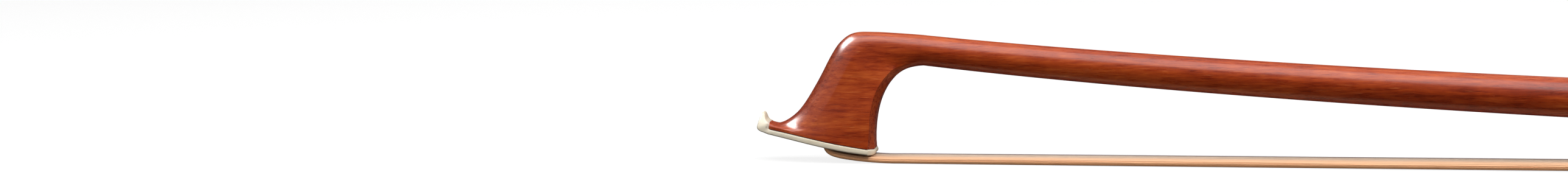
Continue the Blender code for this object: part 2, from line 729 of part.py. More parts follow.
def make_frog_block():
    body = outline_solid("frog_block", frog_side_outline(), FROG_WIDTH / 2, SIDE_ON, EBONY)
    for vertex in body.data.vertices:
        height = vertex.co.z + AXIS_DROP
        vertex.co.y = math.copysign(frog_half(height), vertex.co.y)
    on_frog(body)
    half = FROG_WIDTH / 2
    rear = -FROG_REAR
    front = -FROG_FRONT
    plan = [(rear, half - HEEL_CHAMFER), (rear - HEEL_CHAMFER, half), (front, half),
            (front, -half), (rear - HEEL_CHAMFER, -half), (rear, HEEL_CHAMFER - half)]
    plan_solid = outline_solid("frog_plan", plan, AXIS_DROP, FLAT_DOWN, group=CUTTERS)
    combine(body, on_frog(plan_solid), "INTERSECT")
    inner = FERRULE_WALL + FIT
    tongue = along(d_outline(FROG_WIDTH / 2 - inner, FERRULE_HEIGHT - inner, FERRULE_SIDE,
                             CHANNEL_HEIGHT), THROAT_BACK + 0.002, MOUTH - 0.0006,
                   "tongue_shape", group=CUTTERS)
    combine(body, on_frog(tongue), "UNION")
    channel = along(octagon(CHANNEL_HALF), FROG_REAR - 0.002, FROG_FRONT + 0.002,
                    "stick_channel", group=CUTTERS)
    combine(body, on_frog(channel))
    hair_way = block("hair_channel", (-MOUTH, -CHANNEL_WIDTH / 2, -AXIS_DROP - 0.001),
                     (-SLIDE_REAR + FIT, CHANNEL_WIDTH / 2, CHANNEL_HEIGHT - AXIS_DROP),
                     group=CUTTERS)
    combine(body, on_frog(hair_way))
    rebate = block("foot_rebate", (-SLIDE_REAR - 0.001, -CHANNEL_WIDTH / 2, -AXIS_DROP - 0.001),
                   (0, CHANNEL_WIDTH / 2, HEEL_PLATE_BACK - AXIS_DROP), group=CUTTERS)
    combine(body, on_frog(rebate))
    mortise_front = FROG_MORTISE_REAR + FROG_MORTISE_LENGTH
    mortise = block("frog_mortise", (-mortise_front, -CHANNEL_WIDTH / 2 + FIT, -AXIS_DROP),
                    (-FROG_MORTISE_REAR, CHANNEL_WIDTH / 2 - FIT,
                     FROG_MORTISE_HEIGHT - AXIS_DROP), group=CUTTERS)
    combine(body, on_frog(mortise))
    stem = rod("eyelet_hole", EYELET_WIDTH / 2 + BORE_CLEARANCE,
               (-EYELET_AT, 0, FROG_MORTISE_HEIGHT + 0.001 - AXIS_DROP), (-EYELET_AT, 0, 0), "Z",
               group=CUTTERS)
    combine(body, on_frog(stem))
    for side, name in ((1, "left"), (-1, "right")):
        seat = frog_half(EYE_HEIGHT) - EYE_DEPTH - GLUE
        e, h = at(EYE_AT, EYE_HEIGHT)
        recess = rod("eye_recess_" + name, EYE_RADIUS + EYE_RING_WIDTH + 3 * GLUE,
                     (e, side * seat, h), (e, side * FROG_WIDTH, h), "Y", 40, group=CUTTERS)
        combine(body, on_frog(recess))
    for name, start, end, axis in pin_places():
        hole = rod("hole_" + name, PIN_RADIUS + GLUE, start, end, axis, 12, group=CUTTERS)
        combine(body, on_frog(hole))
    return body


def pin_places():
    # Silver pins, by name: outer end, inner end and axis
    back = -FROG_REAR + GLUE + HEEL_PLATE_THICKNESS
    outer = back + 0.00005
    inner = back - PIN_LENGTH
    upper_top = AXIS_DROP - HANDLE_HALF - 0.0014
    rows = (("heel_pin_upper", upper_top - AXIS_DROP),
            ("heel_pin_middle", HEEL_PLATE_SPLIT + 0.0012 - AXIS_DROP),
            ("heel_pin_lower", HEEL_PLATE_SPLIT - 0.0014 - AXIS_DROP))
    places = [(name, (outer, 0, z), (inner, 0, z), "X") for name, z in rows]
    foot = SLIDE_BASE - 0.00002 - AXIS_DROP
    middle = -(FROG_REAR + SLIDE_REAR) / 2
    places.append(("heel_pin_foot", (middle, 0, foot), (middle, 0, foot + PIN_LENGTH), "Z"))
    return places


def make_pins():
    for name, start, end, axis in pin_places():
        on_frog(rod(name, PIN_RADIUS, start, end, axis, 12, SILVER, smooth_angle=40))


def make_lining():
    # Silver lining of the frog's channel, bent to the three lower faces of the handle
    outer = [(LINING_OUTER * y, LINING_OUTER * z) for y, z in lining_line()]
    inner = [(LINING_INNER * y, LINING_INNER * z) for y, z in lining_line()]
    outline = outer + inner[::-1]
    lining = along(outline, FROG_REAR + FIT, FROG_FRONT - FIT, "underslide", SILVER)
    on_frog(lining)
    hole = rod("underslide_hole", EYELET_WIDTH / 2 + BORE_CLEARANCE,
               (-EYELET_AT, 0, -2 * HANDLE_HALF), (-EYELET_AT, 0, 0), "Z", group=CUTTERS)
    combine(lining, on_frog(hole))


def lining_line():
    return [(-1, -TAN_OCTANT), (-TAN_OCTANT, -1), (TAN_OCTANT, -1), (1, -TAN_OCTANT)]


def make_ferrule():
    outer = d_outline(FROG_WIDTH / 2, FERRULE_HEIGHT, FERRULE_SIDE)
    ring = along(outer, FERRULE_REAR, MOUTH, "ferrule", SILVER, smooth_angle=30)
    inner = d_outline(FROG_WIDTH / 2 - FERRULE_WALL, FERRULE_HEIGHT - FERRULE_WALL, FERRULE_SIDE,
                      FERRULE_WALL, 0.0002)
    hollow = along(inner, FERRULE_REAR - 0.001, MOUTH + 0.001, "ferrule_hollow", group=CUTTERS)
    on_frog(ring)
    combine(ring, on_frog(hollow))


def make_wedge():
    # Thin wooden wedge that spreads the hair inside the ferrule
    low = FERRULE_WALL + FIT / 2 + HAIR_THICK_FERRULE + FIT / 2
    high = CHANNEL_HEIGHT - GLUE
    front = MOUTH - 0.0004
    rear = front - WEDGE_LENGTH
    outline = [at(front, high - WEDGE_THICKNESS), at(front, high), at(rear, high),
               at(rear, high - WEDGE_THICKNESS / 3)]
    outline[0] = at(front, max(low, high - WEDGE_THICKNESS))
    half = HAIR_WIDTH_FERRULE / 2
    on_frog(outline_solid("ferrule_wedge", outline, half, SIDE_ON, SOFTWOOD))


def make_frog_filling():
    line = frog_hair_line()
    knot_e, top_h = line[-1]
    knot_h = top_h + FIT + KNOT_RADIUS
    knot_e += HAIR_THICK_HEAD / 2 - KNOT_RADIUS
    knot_half = CHANNEL_WIDTH / 2 - 3 * FIT
    e, z = at(knot_e, knot_h)
    on_frog(rod("frog_hair_knot", KNOT_RADIUS, (e, -knot_half, z), (e, knot_half, z), "Y", 20,
                THREAD, smooth_angle=40))
    front = -(knot_e - KNOT_RADIUS - FIT)
    rear = -(FROG_MORTISE_REAR + FIT)
    on_frog(block("frog_plug", (front, -knot_half, BACKING_TOP + FIT - AXIS_DROP),
                  (rear, knot_half, FROG_MORTISE_HEIGHT - 0.0014 - AXIS_DROP), SOFTWOOD))


def make_slide():
    front = FERRULE_REAR - FIT
    half = CHANNEL_WIDTH / 2 - FIT
    on_frog(block("pearl_slide", (-front, -half, SLIDE_BASE - AXIS_DROP),
                  (-SLIDE_REAR - FIT, half, PEARL_TOP - AXIS_DROP), PEARL))
    on_frog(block("slide_backing", (-front, -half, PEARL_TOP + GLUE - AXIS_DROP),
                  (-SLIDE_REAR - FIT, half, BACKING_TOP - AXIS_DROP), EBONY))


def make_heel_plates():
    # Upper plate on the back, lower plate bent round the heel's foot
    half = CHANNEL_WIDTH / 2 - FIT
    seat = FROG_REAR - GLUE
    skin = seat - HEEL_PLATE_THICKNESS
    top = AXIS_DROP - HANDLE_HALF - 0.0004
    split = HEEL_PLATE_SPLIT
    upper = block("heel_plate_upper", (-seat, -half, split + GLUE - AXIS_DROP),
                  (-skin, half, top - AXIS_DROP), SILVER)
    foot = SLIDE_REAR - FIT
    base = SLIDE_BASE
    corner = 0.0005
    outline = [(seat, split - GLUE), (skin, split - GLUE), (skin, base + corner),
               (skin + corner, base), (foot, base), (foot, base + HEEL_PLATE_THICKNESS),
               (seat, base + HEEL_PLATE_THICKNESS)]
    lower = outline_solid("heel_plate_lower", [at(e, h) for e, h in outline], half, SIDE_ON, SILVER)
    for plate in (upper, lower):
        on_frog(plate)
    for name, start, end, axis in pin_places():
        beyond = Vector(start) + 2 * (Vector(start) - Vector(end))
        plate = upper if name in ("heel_pin_upper", "heel_pin_middle") else lower
        hole = rod("plate_hole_" + name, PIN_RADIUS + GLUE, beyond, end, axis, 12, group=CUTTERS)
        combine(plate, on_frog(hole))


def make_eyes():
    e, z = at(EYE_AT, EYE_HEIGHT)
    face = frog_half(EYE_HEIGHT) + 0.00005
    seat = face - EYE_DEPTH
    for side, name in ((1, "left"), (-1, "right")):
        on_frog(rod("pearl_eye_" + name, EYE_RADIUS, (e, side * seat, z), (e, side * face, z),
                    "Y", 32, PEARL, smooth_angle=40))
        ring = rod("eye_ring_" + name, EYE_RADIUS + GLUE + EYE_RING_WIDTH,
                   (e, side * seat, z), (e, side * face, z), "Y", 40, SILVER, smooth_angle=40)
        on_frog(ring)
        hole = rod("ring_hole_" + name, EYE_RADIUS + GLUE, (e, 0, z),
                   (e, side * 2 * face, z), "Y", 40, group=CUTTERS)
        combine(ring, on_frog(hole))


def make_eyelet():
    # Brass nut round the screw, on a stem screwed into the frog
    hole_radius = SCREW_RADIUS + BORE_CLEARANCE
    half = EYELET_LENGTH / 2
    head = rod("eyelet", EYELET_RADIUS, (-EYELET_AT - half, 0, 0), (-EYELET_AT + half, 0, 0),
               "X", 24, BRASS, smooth_angle=40)
    on_frog(head)
    cheeks = block("eyelet_cheeks", (-EYELET_AT - EYELET_LENGTH, -EYELET_WIDTH / 2, -EYELET_RADIUS * 2),
                   (-EYELET_AT + EYELET_LENGTH, EYELET_WIDTH / 2, EYELET_RADIUS * 2), group=CUTTERS)
    combine(head, on_frog(cheeks), "INTERSECT")
    foot = FROG_MORTISE_HEIGHT + 0.0014 - AXIS_DROP
    stem = rod("eyelet_stem", EYELET_WIDTH / 2 - GLUE, (-EYELET_AT, 0, foot),
               (-EYELET_AT, 0, -hole_radius - 0.0002), "Z", 20, group=CUTTERS)
    combine(head, on_frog(stem), "UNION")
    hole = rod("eyelet_thread", hole_radius, (-EYELET_AT - EYELET_LENGTH, 0, 0),
               (-EYELET_AT + EYELET_LENGTH, 0, 0), "X", 24, group=CUTTERS)
    combine(head, on_frog(hole))


# Screw and button, with their origin on the handle's axis at the stick's end

def screw_ring(x, radius_at, count=12):
    ring = []
    for i in range(count):
        a = 2 * math.pi * i / count
        radius = radius_at(a)
        ring.append((x, radius * math.sin(a), radius * math.cos(a)))
    return ring


def make_screw():
    plain = SCREW_RADIUS - THREAD_DEPTH
    thread_end = THREAD_START + THREAD_TURNS * THREAD_PITCH
    tang = BUTTON_LENGTH - BUTTON_EYE_DEPTH - 0.003
    rings = [screw_ring(tang, lambda a: plain - 0.0002),
             screw_ring(0.001, lambda a: plain - 0.0002),
             screw_ring(0.0009, lambda a: SCREW_RADIUS),
             screw_ring(-THREAD_START + 0.001, lambda a: SCREW_RADIUS),
             screw_ring(-THREAD_START + 0.0008, lambda a: plain)]
    rows = 4

    def tooth(x):
        def radius(a):
            phase = (x / THREAD_PITCH + a / (2 * math.pi)) % 1.0
            return plain + THREAD_DEPTH * (1 - abs(2 * phase - 1))
        return radius

    for i in range(THREAD_TURNS * rows + 1):
        x = -THREAD_START - i * THREAD_PITCH / rows
        rings.append(screw_ring(x, tooth(x)))
    rings += [screw_ring(-thread_end - 0.0003, lambda a: plain),
              screw_ring(-SCREW_REACH + 0.001, lambda a: plain - 0.0002),
              screw_ring(-SCREW_REACH, lambda a: plain / 2)]
    under(loft("screw", rings, STEEL, smooth_angle=35), HANDLE)


def make_button():
    start = FIT
    end = BUTTON_LENGTH
    ring_end = start + BUTTON_RING_LENGTH
    ring_back = end - BUTTON_RING_LENGTH
    core = along(octagon(HANDLE_HALF), -(ring_end + GLUE), -(ring_back - GLUE), "button_core",
                 EBONY)
    under(core, HANDLE)
    spigot = rod("button_spigot", BUTTON_SPIGOT_RADIUS, (start, 0, 0), (end - GLUE, 0, 0),
                 sides=32, group=CUTTERS)
    combine(core, under(spigot, HANDLE), "UNION")
    socket = rod("nipple_socket", NIPPLE_RADIUS + FIT, (-0.001, 0, 0),
                 (NIPPLE_LENGTH + FIT, 0, 0), group=CUTTERS)
    combine(core, under(socket, HANDLE))
    tang = rod("tang_hole", SCREW_RADIUS - THREAD_DEPTH - 0.0001, (0, 0, 0),
               (BUTTON_LENGTH - BUTTON_EYE_DEPTH - 0.0028, 0, 0), group=CUTTERS)
    combine(core, under(tang, HANDLE))
    eye_seat = rod("button_eye_seat", BUTTON_EYE_RADIUS + GLUE, (end - BUTTON_EYE_DEPTH - GLUE, 0, 0),
                   (end + 0.001, 0, 0), sides=32, group=CUTTERS)
    combine(core, under(eye_seat, HANDLE))
    under(rod("button_eye", BUTTON_EYE_RADIUS, (end - BUTTON_EYE_DEPTH, 0, 0), (end, 0, 0),
              sides=28, mat=PEARL, smooth_angle=40), HANDLE)
    for name, near, far in (("front", start, ring_end), ("rear", ring_back, end - GLUE)):
        ring = along(octagon(HANDLE_HALF), -near, -far, "button_ring_" + name, SILVER)
        under(ring, HANDLE)
        hole = rod("ring_bore_" + name, BUTTON_SPIGOT_RADIUS + GLUE, (near - 0.001, 0, 0),
                   (far + 0.001, 0, 0), sides=32, group=CUTTERS)
        combine(ring, under(hole, HANDLE))


# Grip and lapping

def sleeve(name, places, mat, smooth_angle=35):
    # A covering round the stick: rows of distance from the stick's end, inner and outer lift
    outer = [stick_ring(STICK_REACH - e, high) for e, low, high in places]
    inner = [stick_ring(STICK_REACH - e, low) for e, low, high in reversed(places)]
    return loft(name, outer + inner, mat, smooth_angle=smooth_angle, closed=True)


def make_grip():
    start = GRIP_START
    end = GRIP_START + GRIP_LENGTH
    full = GLUE + GRIP_THICKNESS
    thin = GLUE + GRIP_THICKNESS / 3
    ramp = 0.0015
    rows = [(start, GLUE, thin), (start + ramp, GLUE, full), (end - ramp, GLUE, full),
            (end, GLUE, thin)]
    sleeve("leather_grip", rows, LEATHER)


def lapping_span():
    start = GRIP_START + GRIP_LENGTH + FIT
    return start, start + LAPPING_LENGTH


def make_lapping():
    start, end = lapping_span()
    facet_end = FACET_LENGTH
    marks = [start, facet_end, facet_end + ROUNDING_LENGTH / 2, end]
    marks = sorted(m for m in marks if start <= m <= end)
    rows = [(e, GLUE, GLUE + LAPPING_THICKNESS) for e in marks]
    sleeve("silk_lapping", rows, SILK)


def make_tinsel():
    # One unbroken silver thread wound round the lapping
    start, end = lapping_span()
    wound = TINSEL_LOOPS * TINSEL_PITCH
    first = (start + end - wound) / 2
    lift = GLUE + LAPPING_THICKNESS + GLUE + TINSEL_RADIUS
    count = TINSEL_LOOPS * TINSEL_POINTS
    points = []
    for i in range(count + 1):
        e = first + TINSEL_PITCH * i / TINSEL_POINTS
        angle = math.pi / 8 + 2 * math.pi * (i + 1) / TINSEL_POINTS
        points.append(stick_point(STICK_REACH - e, angle, lift))
    lead = 2 * TINSEL_RADIUS
    points.insert(0, points[0] + (points[0] - points[1]).normalized() * lead)
    points.append(points[-1] + (points[-1] - points[-2]).normalized() * lead)
    least = min((points[i] - points[i + TINSEL_POINTS + j]).length
                for i in range(1, count - TINSEL_POINTS) for j in (-1, 0, 1))
    print("tinsel, least gap to itself in mm:", round(1000 * (least - 2 * TINSEL_RADIUS), 2))
    curve = bpy.data.curves.new("tinsel_spiral", "CURVE")
    curve.dimensions = "3D"
    curve.bevel_depth = TINSEL_RADIUS
    curve.bevel_resolution = 1
    curve.use_fill_caps = True
    line = curve.splines.new("POLY")
    line.points.add(len(points) - 1)
    for point, co in zip(line.points, points):
        point.co = (*co, 1)
    tinsel = bpy.data.objects.new("tinsel_spiral", curve)
    show(tinsel, SILVER)


# Hair

def frog_hair_line():
    # Middle of the hank inside the frog, from the ferrule's mouth to the knot
    mouth_h = FERRULE_WALL + FIT / 2 + HAIR_THICK_FERRULE / 2
    way_h = BACKING_TOP + GLUE + HAIR_THICK_HEAD / 2
    turn_e = FROG_MORTISE_REAR + FROG_MORTISE_LENGTH - FIT - HAIR_THICK_HEAD / 2
    return [(MOUTH, mouth_h), (MOUTH - 0.003, mouth_h), (FERRULE_REAR + 0.0025, mouth_h + 0.0001),
            (FERRULE_REAR - 0.0006, way_h), (turn_e + 0.003, way_h),
            (turn_e + 0.0007, way_h + 0.0001), (turn_e, way_h + 0.0008), (turn_e, way_h + 0.0026)]


def hair_section(centre, direction, width, thickness):
    # A flat bundle whose faces are ridged like bunches of strands
    normal = Vector((-direction.z, 0, direction.x))
    groove = thickness * 0.12
    steps = 2 * HAIR_RIDGES
    top = []
    for i in range(steps + 1):
        y = lerp(-width / 2, width / 2, i / steps)
        edge = 0.35 if i in (0, steps) else 1.0
        lift = (thickness / 2 - (groove if i % 2 == 0 else 0)) * edge
        top.append((y, lift))
    ring = [centre + normal * lift + Vector((0, y, 0)) for y, lift in top]
    ring += [centre - normal * lift + Vector((0, y, 0)) for y, lift in reversed(top)]
    return ring


def make_hair():
    bpy.context.view_layer.update()
    head = [Vector((HEEL_X + x, 0, z)) for x, z in tip_hair_line()]
    frog = [HANDLE.matrix_world @ Vector((*at(e, h)[:1], 0, at(e, h)[1]))
            for e, h in frog_hair_line()]
    spans = 6
    middle = [head[-1].lerp(frog[0], (i + 1) / spans) for i in range(spans - 1)]
    line = head + middle + frog
    mouth_index = len(head) + len(middle)
    heel_index = len(head) - 1
    rings = []
    for i, centre in enumerate(line):
        before = line[max(i - 1, 0)]
        after = line[min(i + 1, len(line) - 1)]
        incoming = (centre - before).normalized() if i else (after - centre).normalized()
        outgoing = (after - centre).normalized() if i < len(line) - 1 else incoming
        direction = (incoming + outgoing).normalized()
        stretch = 1 / max(0.5, math.cos(incoming.angle(outgoing) / 2))
        if i <= heel_index:
            room = 2 * (tip_mortise_half(centre.z) - FIT)
            width = min(HAIR_WIDTH_HEAD, room) if i < 3 else HAIR_WIDTH_HEAD
            thick = HAIR_THICK_HEAD
        elif i <= mouth_index:
            share = math.sqrt((i - heel_index) / (mouth_index - heel_index))
            width = lerp(HAIR_WIDTH_HEAD, HAIR_WIDTH_FERRULE, share)
            thick = lerp(HAIR_THICK_HEAD, HAIR_THICK_FERRULE, share)
        else:
            inside = (i - mouth_index) / 3
            width = lerp(HAIR_WIDTH_FERRULE, HAIR_WIDTH_FROG, min(1.0, inside))
            thick = lerp(HAIR_THICK_FERRULE, HAIR_THICK_HEAD, min(1.0, inside))
        rings.append(hair_section(centre, direction, width, thick * stretch))
    loft("hair", rings, HORSEHAIR, smooth_angle=60)


make_stick()
make_tip_plate()
make_tip_liner()
make_tip_filling()
make_frog_block()
make_pins()
make_lining()
make_ferrule()
make_wedge()
make_frog_filling()
make_slide()
make_heel_plates()
make_eyes()
make_eyelet()
make_screw()
make_button()
make_grip()
make_lapping()
make_tinsel()
make_hair()
bpy.context.view_layer.update()
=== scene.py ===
# Violin bow: the visible surfaces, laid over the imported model.
# Metres. +X runs from the head to the button, +Z is up and the hair lies underneath.
import json
import math
import random

import bmesh
import bpy
from mathutils import Matrix, Vector


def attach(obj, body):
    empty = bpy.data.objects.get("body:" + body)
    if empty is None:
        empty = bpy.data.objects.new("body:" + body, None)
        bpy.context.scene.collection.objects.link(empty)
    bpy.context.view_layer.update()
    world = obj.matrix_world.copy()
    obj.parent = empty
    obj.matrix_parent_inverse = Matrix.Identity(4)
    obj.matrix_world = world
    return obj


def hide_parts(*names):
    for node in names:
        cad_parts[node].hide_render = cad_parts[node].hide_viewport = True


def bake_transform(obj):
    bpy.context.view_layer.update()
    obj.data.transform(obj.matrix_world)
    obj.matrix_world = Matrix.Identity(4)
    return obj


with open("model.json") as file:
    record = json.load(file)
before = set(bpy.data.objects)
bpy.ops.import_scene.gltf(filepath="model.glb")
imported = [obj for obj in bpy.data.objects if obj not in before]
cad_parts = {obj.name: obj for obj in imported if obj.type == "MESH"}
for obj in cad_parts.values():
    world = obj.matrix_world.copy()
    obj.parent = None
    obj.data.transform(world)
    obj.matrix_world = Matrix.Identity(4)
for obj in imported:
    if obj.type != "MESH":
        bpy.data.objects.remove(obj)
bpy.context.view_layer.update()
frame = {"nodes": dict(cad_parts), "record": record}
scene = bpy.context.scene
print("frame loaded:", len(frame["nodes"]), "nodes")


# Camera: low, a little to the right of square on, as the picture was taken
camera = {
    "azimuth": 9.0,
    "elevation": 5.8,
    "roll": -0.49,
    "focalPixels": 3960,
    "pictureWidth": 2576,
    "sensor": 36.0,
    "place": (-0.29539, -0.44218, 0.05695),
}


def makeCamera():
    turn = math.radians(camera["azimuth"])
    lift = math.radians(camera["elevation"])
    roll = math.radians(camera["roll"])
    back = Vector((math.sin(turn) * math.cos(lift), -math.cos(turn) * math.cos(lift),
                   math.sin(lift)))
    right = Vector((0, 0, 1)).cross(back).normalized()
    up = back.cross(right)
    rightRolled = right * math.cos(roll) + up * math.sin(roll)
    upRolled = up * math.cos(roll) - right * math.sin(roll)
    data = bpy.data.cameras.new("pictureCamera")
    data.sensor_width = camera["sensor"]
    data.lens = camera["focalPixels"] / camera["pictureWidth"] * camera["sensor"]
    data.clip_start = 0.01
    eye = bpy.data.objects.new("pictureCamera", data)
    placed = Matrix((rightRolled, upRolled, back)).transposed().to_4x4()
    placed.translation = Vector(camera["place"])
    eye.matrix_world = placed
    scene.collection.objects.link(eye)
    scene.camera = eye


makeCamera()


# Node trees

class Wire:
    # One output in a node tree. Sums on it add Math nodes to the same tree.
    def __init__(self, tree, socket):
        self.tree = tree
        self.socket = socket

    def worked(self, operation, first, second):
        return self.tree.add("ShaderNodeMath", {"operation": operation}, {0: first, 1: second})

    def __add__(self, other):
        return self.worked("ADD", self, other)

    def __radd__(self, other):
        return self.worked("ADD", other, self)

    def __sub__(self, other):
        return self.worked("SUBTRACT", self, other)

    def __rsub__(self, other):
        return self.worked("SUBTRACT", other, self)

    def __mul__(self, other):
        return self.worked("MULTIPLY", self, other)

    def __rmul__(self, other):
        return self.worked("MULTIPLY", other, self)


class Tree:
    # A node tree that is filled through one method
    def __init__(self, nodeTree):
        self.nodeTree = nodeTree

    def add(self, kind, settings=None, inputs=None, output=0):
        made = self.nodeTree.nodes.new(kind)
        for name, value in (settings or {}).items():
            if name == "stops":
                self.fillRamp(made.color_ramp, value)
            else:
                setattr(made, name, value)
        for key, value in (inputs or {}).items():
            self.feed(made.inputs[key], value)
        return Wire(self, made.outputs[output])

    def feed(self, socket, value):
        if isinstance(value, Wire):
            self.nodeTree.links.new(value.socket, socket)
        elif value is not None:
            socket.default_value = value

    def fillRamp(self, ramp, stops):
        while len(ramp.elements) < len(stops):
            ramp.elements.new(1.0)
        for element, (place, colour) in zip(ramp.elements, stops):
            element.position = place
            element.color = (*colour, 1.0)


socketNames = {"gloss": "Specular IOR Level", "coat": "Coat Weight",
               "coatRoughness": "Coat Roughness", "sheen": "Sheen Weight",
               "sheenRoughness": "Sheen Roughness"}


class Finish(Tree):
    # A material with one main shader and the surface patterns that feed it
    def __init__(self, name, metallic=0.0):
        self.material = bpy.data.materials.new(name)
        self.material.use_nodes = True
        super().__init__(self.material.node_tree)
        self.shader = self.nodeTree.nodes["Principled BSDF"]
        self.fix("Metallic", metallic)
        self.place = self.add("ShaderNodeTexCoord", output=3)

    def fix(self, name, value):
        self.shader.inputs[name].default_value = value

    def drive(self, name, wire):
        self.feed(self.shader.inputs[name], wire)

    def stretched(self, perMetre, moved=(0, 0, 0)):
        return self.add("ShaderNodeMapping", None,
                        {"Vector": self.place, "Scale": perMetre, "Location": moved})

    def noise(self, perMetre, detail=3.0, roughness=0.55, moved=(0, 0, 0), distortion=0.0):
        return self.add("ShaderNodeTexNoise", None,
                        {"Vector": self.stretched(perMetre, moved), "Scale": 1.0,
                         "Detail": detail, "Roughness": roughness, "Distortion": distortion})

    def cells(self, perMetre):
        return self.add("ShaderNodeTexVoronoi", None,
                        {"Vector": self.stretched(perMetre), "Scale": 1.0})

    def ramp(self, wire, stops):
        return self.add("ShaderNodeValToRGB", {"stops": stops}, {0: wire})

    def between(self, share, first, second):
        return self.add("ShaderNodeMix", {"data_type": "RGBA"},
                        {0: share, 6: self.colour(first), 7: self.colour(second)}, output=2)

    def colour(self, value):
        return value if isinstance(value, Wire) else (*value, 1.0)

    def limited(self, wire, low, high):
        # The share of the way from low to high, kept between 0 and 1
        return self.add("ShaderNodeMapRange", {"clamp": True},
                        {"Value": wire, "From Min": low, "From Max": high})

    def axes(self):
        # The place in the bow's frame, one wire an axis
        node = self.nodeTree.nodes.new("ShaderNodeSeparateXYZ")
        self.feed(node.inputs[0], self.place)
        return [Wire(self, socket) for socket in node.outputs]

    def spot(self, centre, inner, outer):
        # 1 inside a small ball round a point, and 0 outside it
        away = self.add("ShaderNodeVectorMath", {"operation": "DISTANCE"},
                        {0: self.place, 1: centre}, output=1)
        return 1 - self.limited(away, inner, outer)

    def finished(self, colour, roughness, height=None, depth=0.0, **fixed):
        # Feeds the shader: colour, roughness, relief's height and depth, then constants
        self.drive("Base Color", colour)
        self.drive("Roughness", roughness)
        if height:
            self.drive("Normal", self.add("ShaderNodeBump", None, {
                "Height": height, "Distance": depth, "Strength": 1.0}))
        for name, value in fixed.items():
            self.fix(socketNames[name], value)
        return self.material


def makePernambuco():
    look = {"darkest": (0.110, 0.010, 0.0020), "dark": (0.250, 0.024, 0.0030),
            "body": (0.360, 0.045, 0.0050), "light": (0.49, 0.088, 0.013),
            "fleck": (0.68, 0.20, 0.060)}
    m = Finish("pernambuco")
    fibre = m.noise((190, 1900, 1900), 4.0, 0.62)
    hairline = m.noise((420, 5200, 5200), 2.0, 0.6, (3, 1, 7))
    broad = m.noise((26, 240, 240), 3.0, 0.55, (9, 2, 4))
    figure = m.noise((330, 110, 110), 3.0, 0.6, (1, 8, 3))
    tone = (0.5 + (fibre - 0.5) * 0.85 + (hairline - 0.5) * 0.4
            + (broad - 0.5) * 0.8 + (figure - 0.5) * 0.25)
    wood = m.ramp(tone, [(0.12, look["darkest"]), (0.34, look["dark"]), (0.52, look["body"]),
                         (0.74, look["light"]), (0.95, look["fleck"])])
    flecks = m.limited(m.noise((300, 5200, 5200), 1.0, 0.5, (5, 5, 1)), 0.70, 0.76)
    wood = m.between(flecks * 0.32, wood, look["fleck"])
    pores = m.limited(m.noise((260, 5600, 5600), 1.0, 0.5, (2, 9, 6)), 0.69, 0.74)
    wood = m.between(pores * 0.4, wood, look["darkest"])
    return m.finished(wood, 0.24 + fibre * 0.08, fibre * 0.6 + hairline * 0.4 - pores * 0.3,
                      0.000008, gloss=0.38)


def makeBone():
    m = Finish("bone")
    cloud = m.noise((90, 240, 240), 4.0, 0.55)
    lines = m.noise((160, 2600, 2600), 2.0, 0.5, (4, 1, 1))
    bone = m.ramp(cloud * 0.6 + lines * 0.4, [
        (0.25, (0.72, 0.61, 0.43)), (0.5, (0.84, 0.75, 0.58)), (0.8, (0.90, 0.84, 0.71))])
    # a mauve band where it meets the wood, partly the glue line and partly painted shade at the
    # joint, and a small pit beside the beak's root
    along, _, height = m.axes()
    # painted shade in the joint with the wood, over its dark glue line
    glueLineAndShade = m.limited(along, -0.36855, -0.36785) * m.limited(height, 0.0059, 0.0065)
    bone = m.between(glueLineAndShade * 0.55, bone, (0.42, 0.28, 0.28))
    # the pit is only a dark spot with no relief: its darkness is painted shade
    pitShade = m.spot((-0.36838, -0.0026, 0.00625), 0.00006, 0.00026)
    bone = m.between(pitShade * 0.6, bone, (0.22, 0.11, 0.10))
    return m.finished(bone, 0.26 + lines * 0.1, lines, 0.000008)


def makeHorsehair():
    m = Finish("horsehair")
    tone, upper, far = (m.add("ShaderNodeAttribute", {"attribute_name": trait}, output=2)
                        for trait in ("strandTone", "strandUpper", "strandFar"))
    along = m.noise((60, 900, 900), 2.0, 0.5)
    fine = m.noise((40, 9000, 9000), 1.0, 0.5, (2, 2, 5))
    share = tone * 0.45 + along * 0.25 + fine * 0.3
    # tones for the underside in painted shade and for the top in painted light, near and far
    shadedUnderside, peach, pale = (m.ramp(share, list(zip((0.10, 0.40, 0.62, 0.9), tones))) for tones in (
        ((0.76, 0.34, 0.15), (0.87, 0.43, 0.20), (0.91, 0.48, 0.24), (0.94, 0.56, 0.32)),
        ((0.56, 0.31, 0.18), (0.68, 0.40, 0.23), (0.72, 0.44, 0.26), (0.77, 0.51, 0.33)),
        ((0.56, 0.40, 0.30), (0.68, 0.51, 0.38), (0.72, 0.55, 0.42), (0.77, 0.61, 0.48))))
    # the hank is paler on top and deeper orange underneath, painted light and painted shade from
    # the light above; one edge of it greyer near the head
    top = m.between(m.limited(far, -0.7, 0.2), peach, pale)
    grey = m.limited(far - m.axes()[0], 0.78, 0.92)
    hair = m.between(grey * upper * 0.9, m.between(upper, shadedUnderside, top), (0.24, 0.19, 0.19))
    return m.finished(hair, 0.44 + fine * 0.14, gloss=0.3)


def makeEbony():
    m = Finish("ebony")
    streak = m.noise((110, 1900, 1900), 3.0, 0.6)
    pores = m.limited(m.noise((320, 5200, 5200), 1.0, 0.5, (4, 4, 2)), 0.66, 0.74)
    black = m.ramp(streak, [(0.3, (0.005, 0.0045, 0.0045)), (0.55, (0.011, 0.009, 0.008)),
                            (0.8, (0.022, 0.014, 0.011))])
    return m.finished(m.between(pores * 0.7, black, (0.002, 0.002, 0.002)),
                      0.30 + streak * 0.1 + pores * 0.06, streak * 0.5 - pores * 0.35,
                      0.000008, gloss=0.32)


def makeLiner():
    m = Finish("liner_black")
    streak = m.noise((150, 2400, 2400), 3.0, 0.6)
    liner = m.ramp(streak, [(0.3, (0.060, 0.010, 0.015)), (0.7, (0.16, 0.028, 0.038))])
    return m.finished(liner, 0.3 + streak * 0.12)


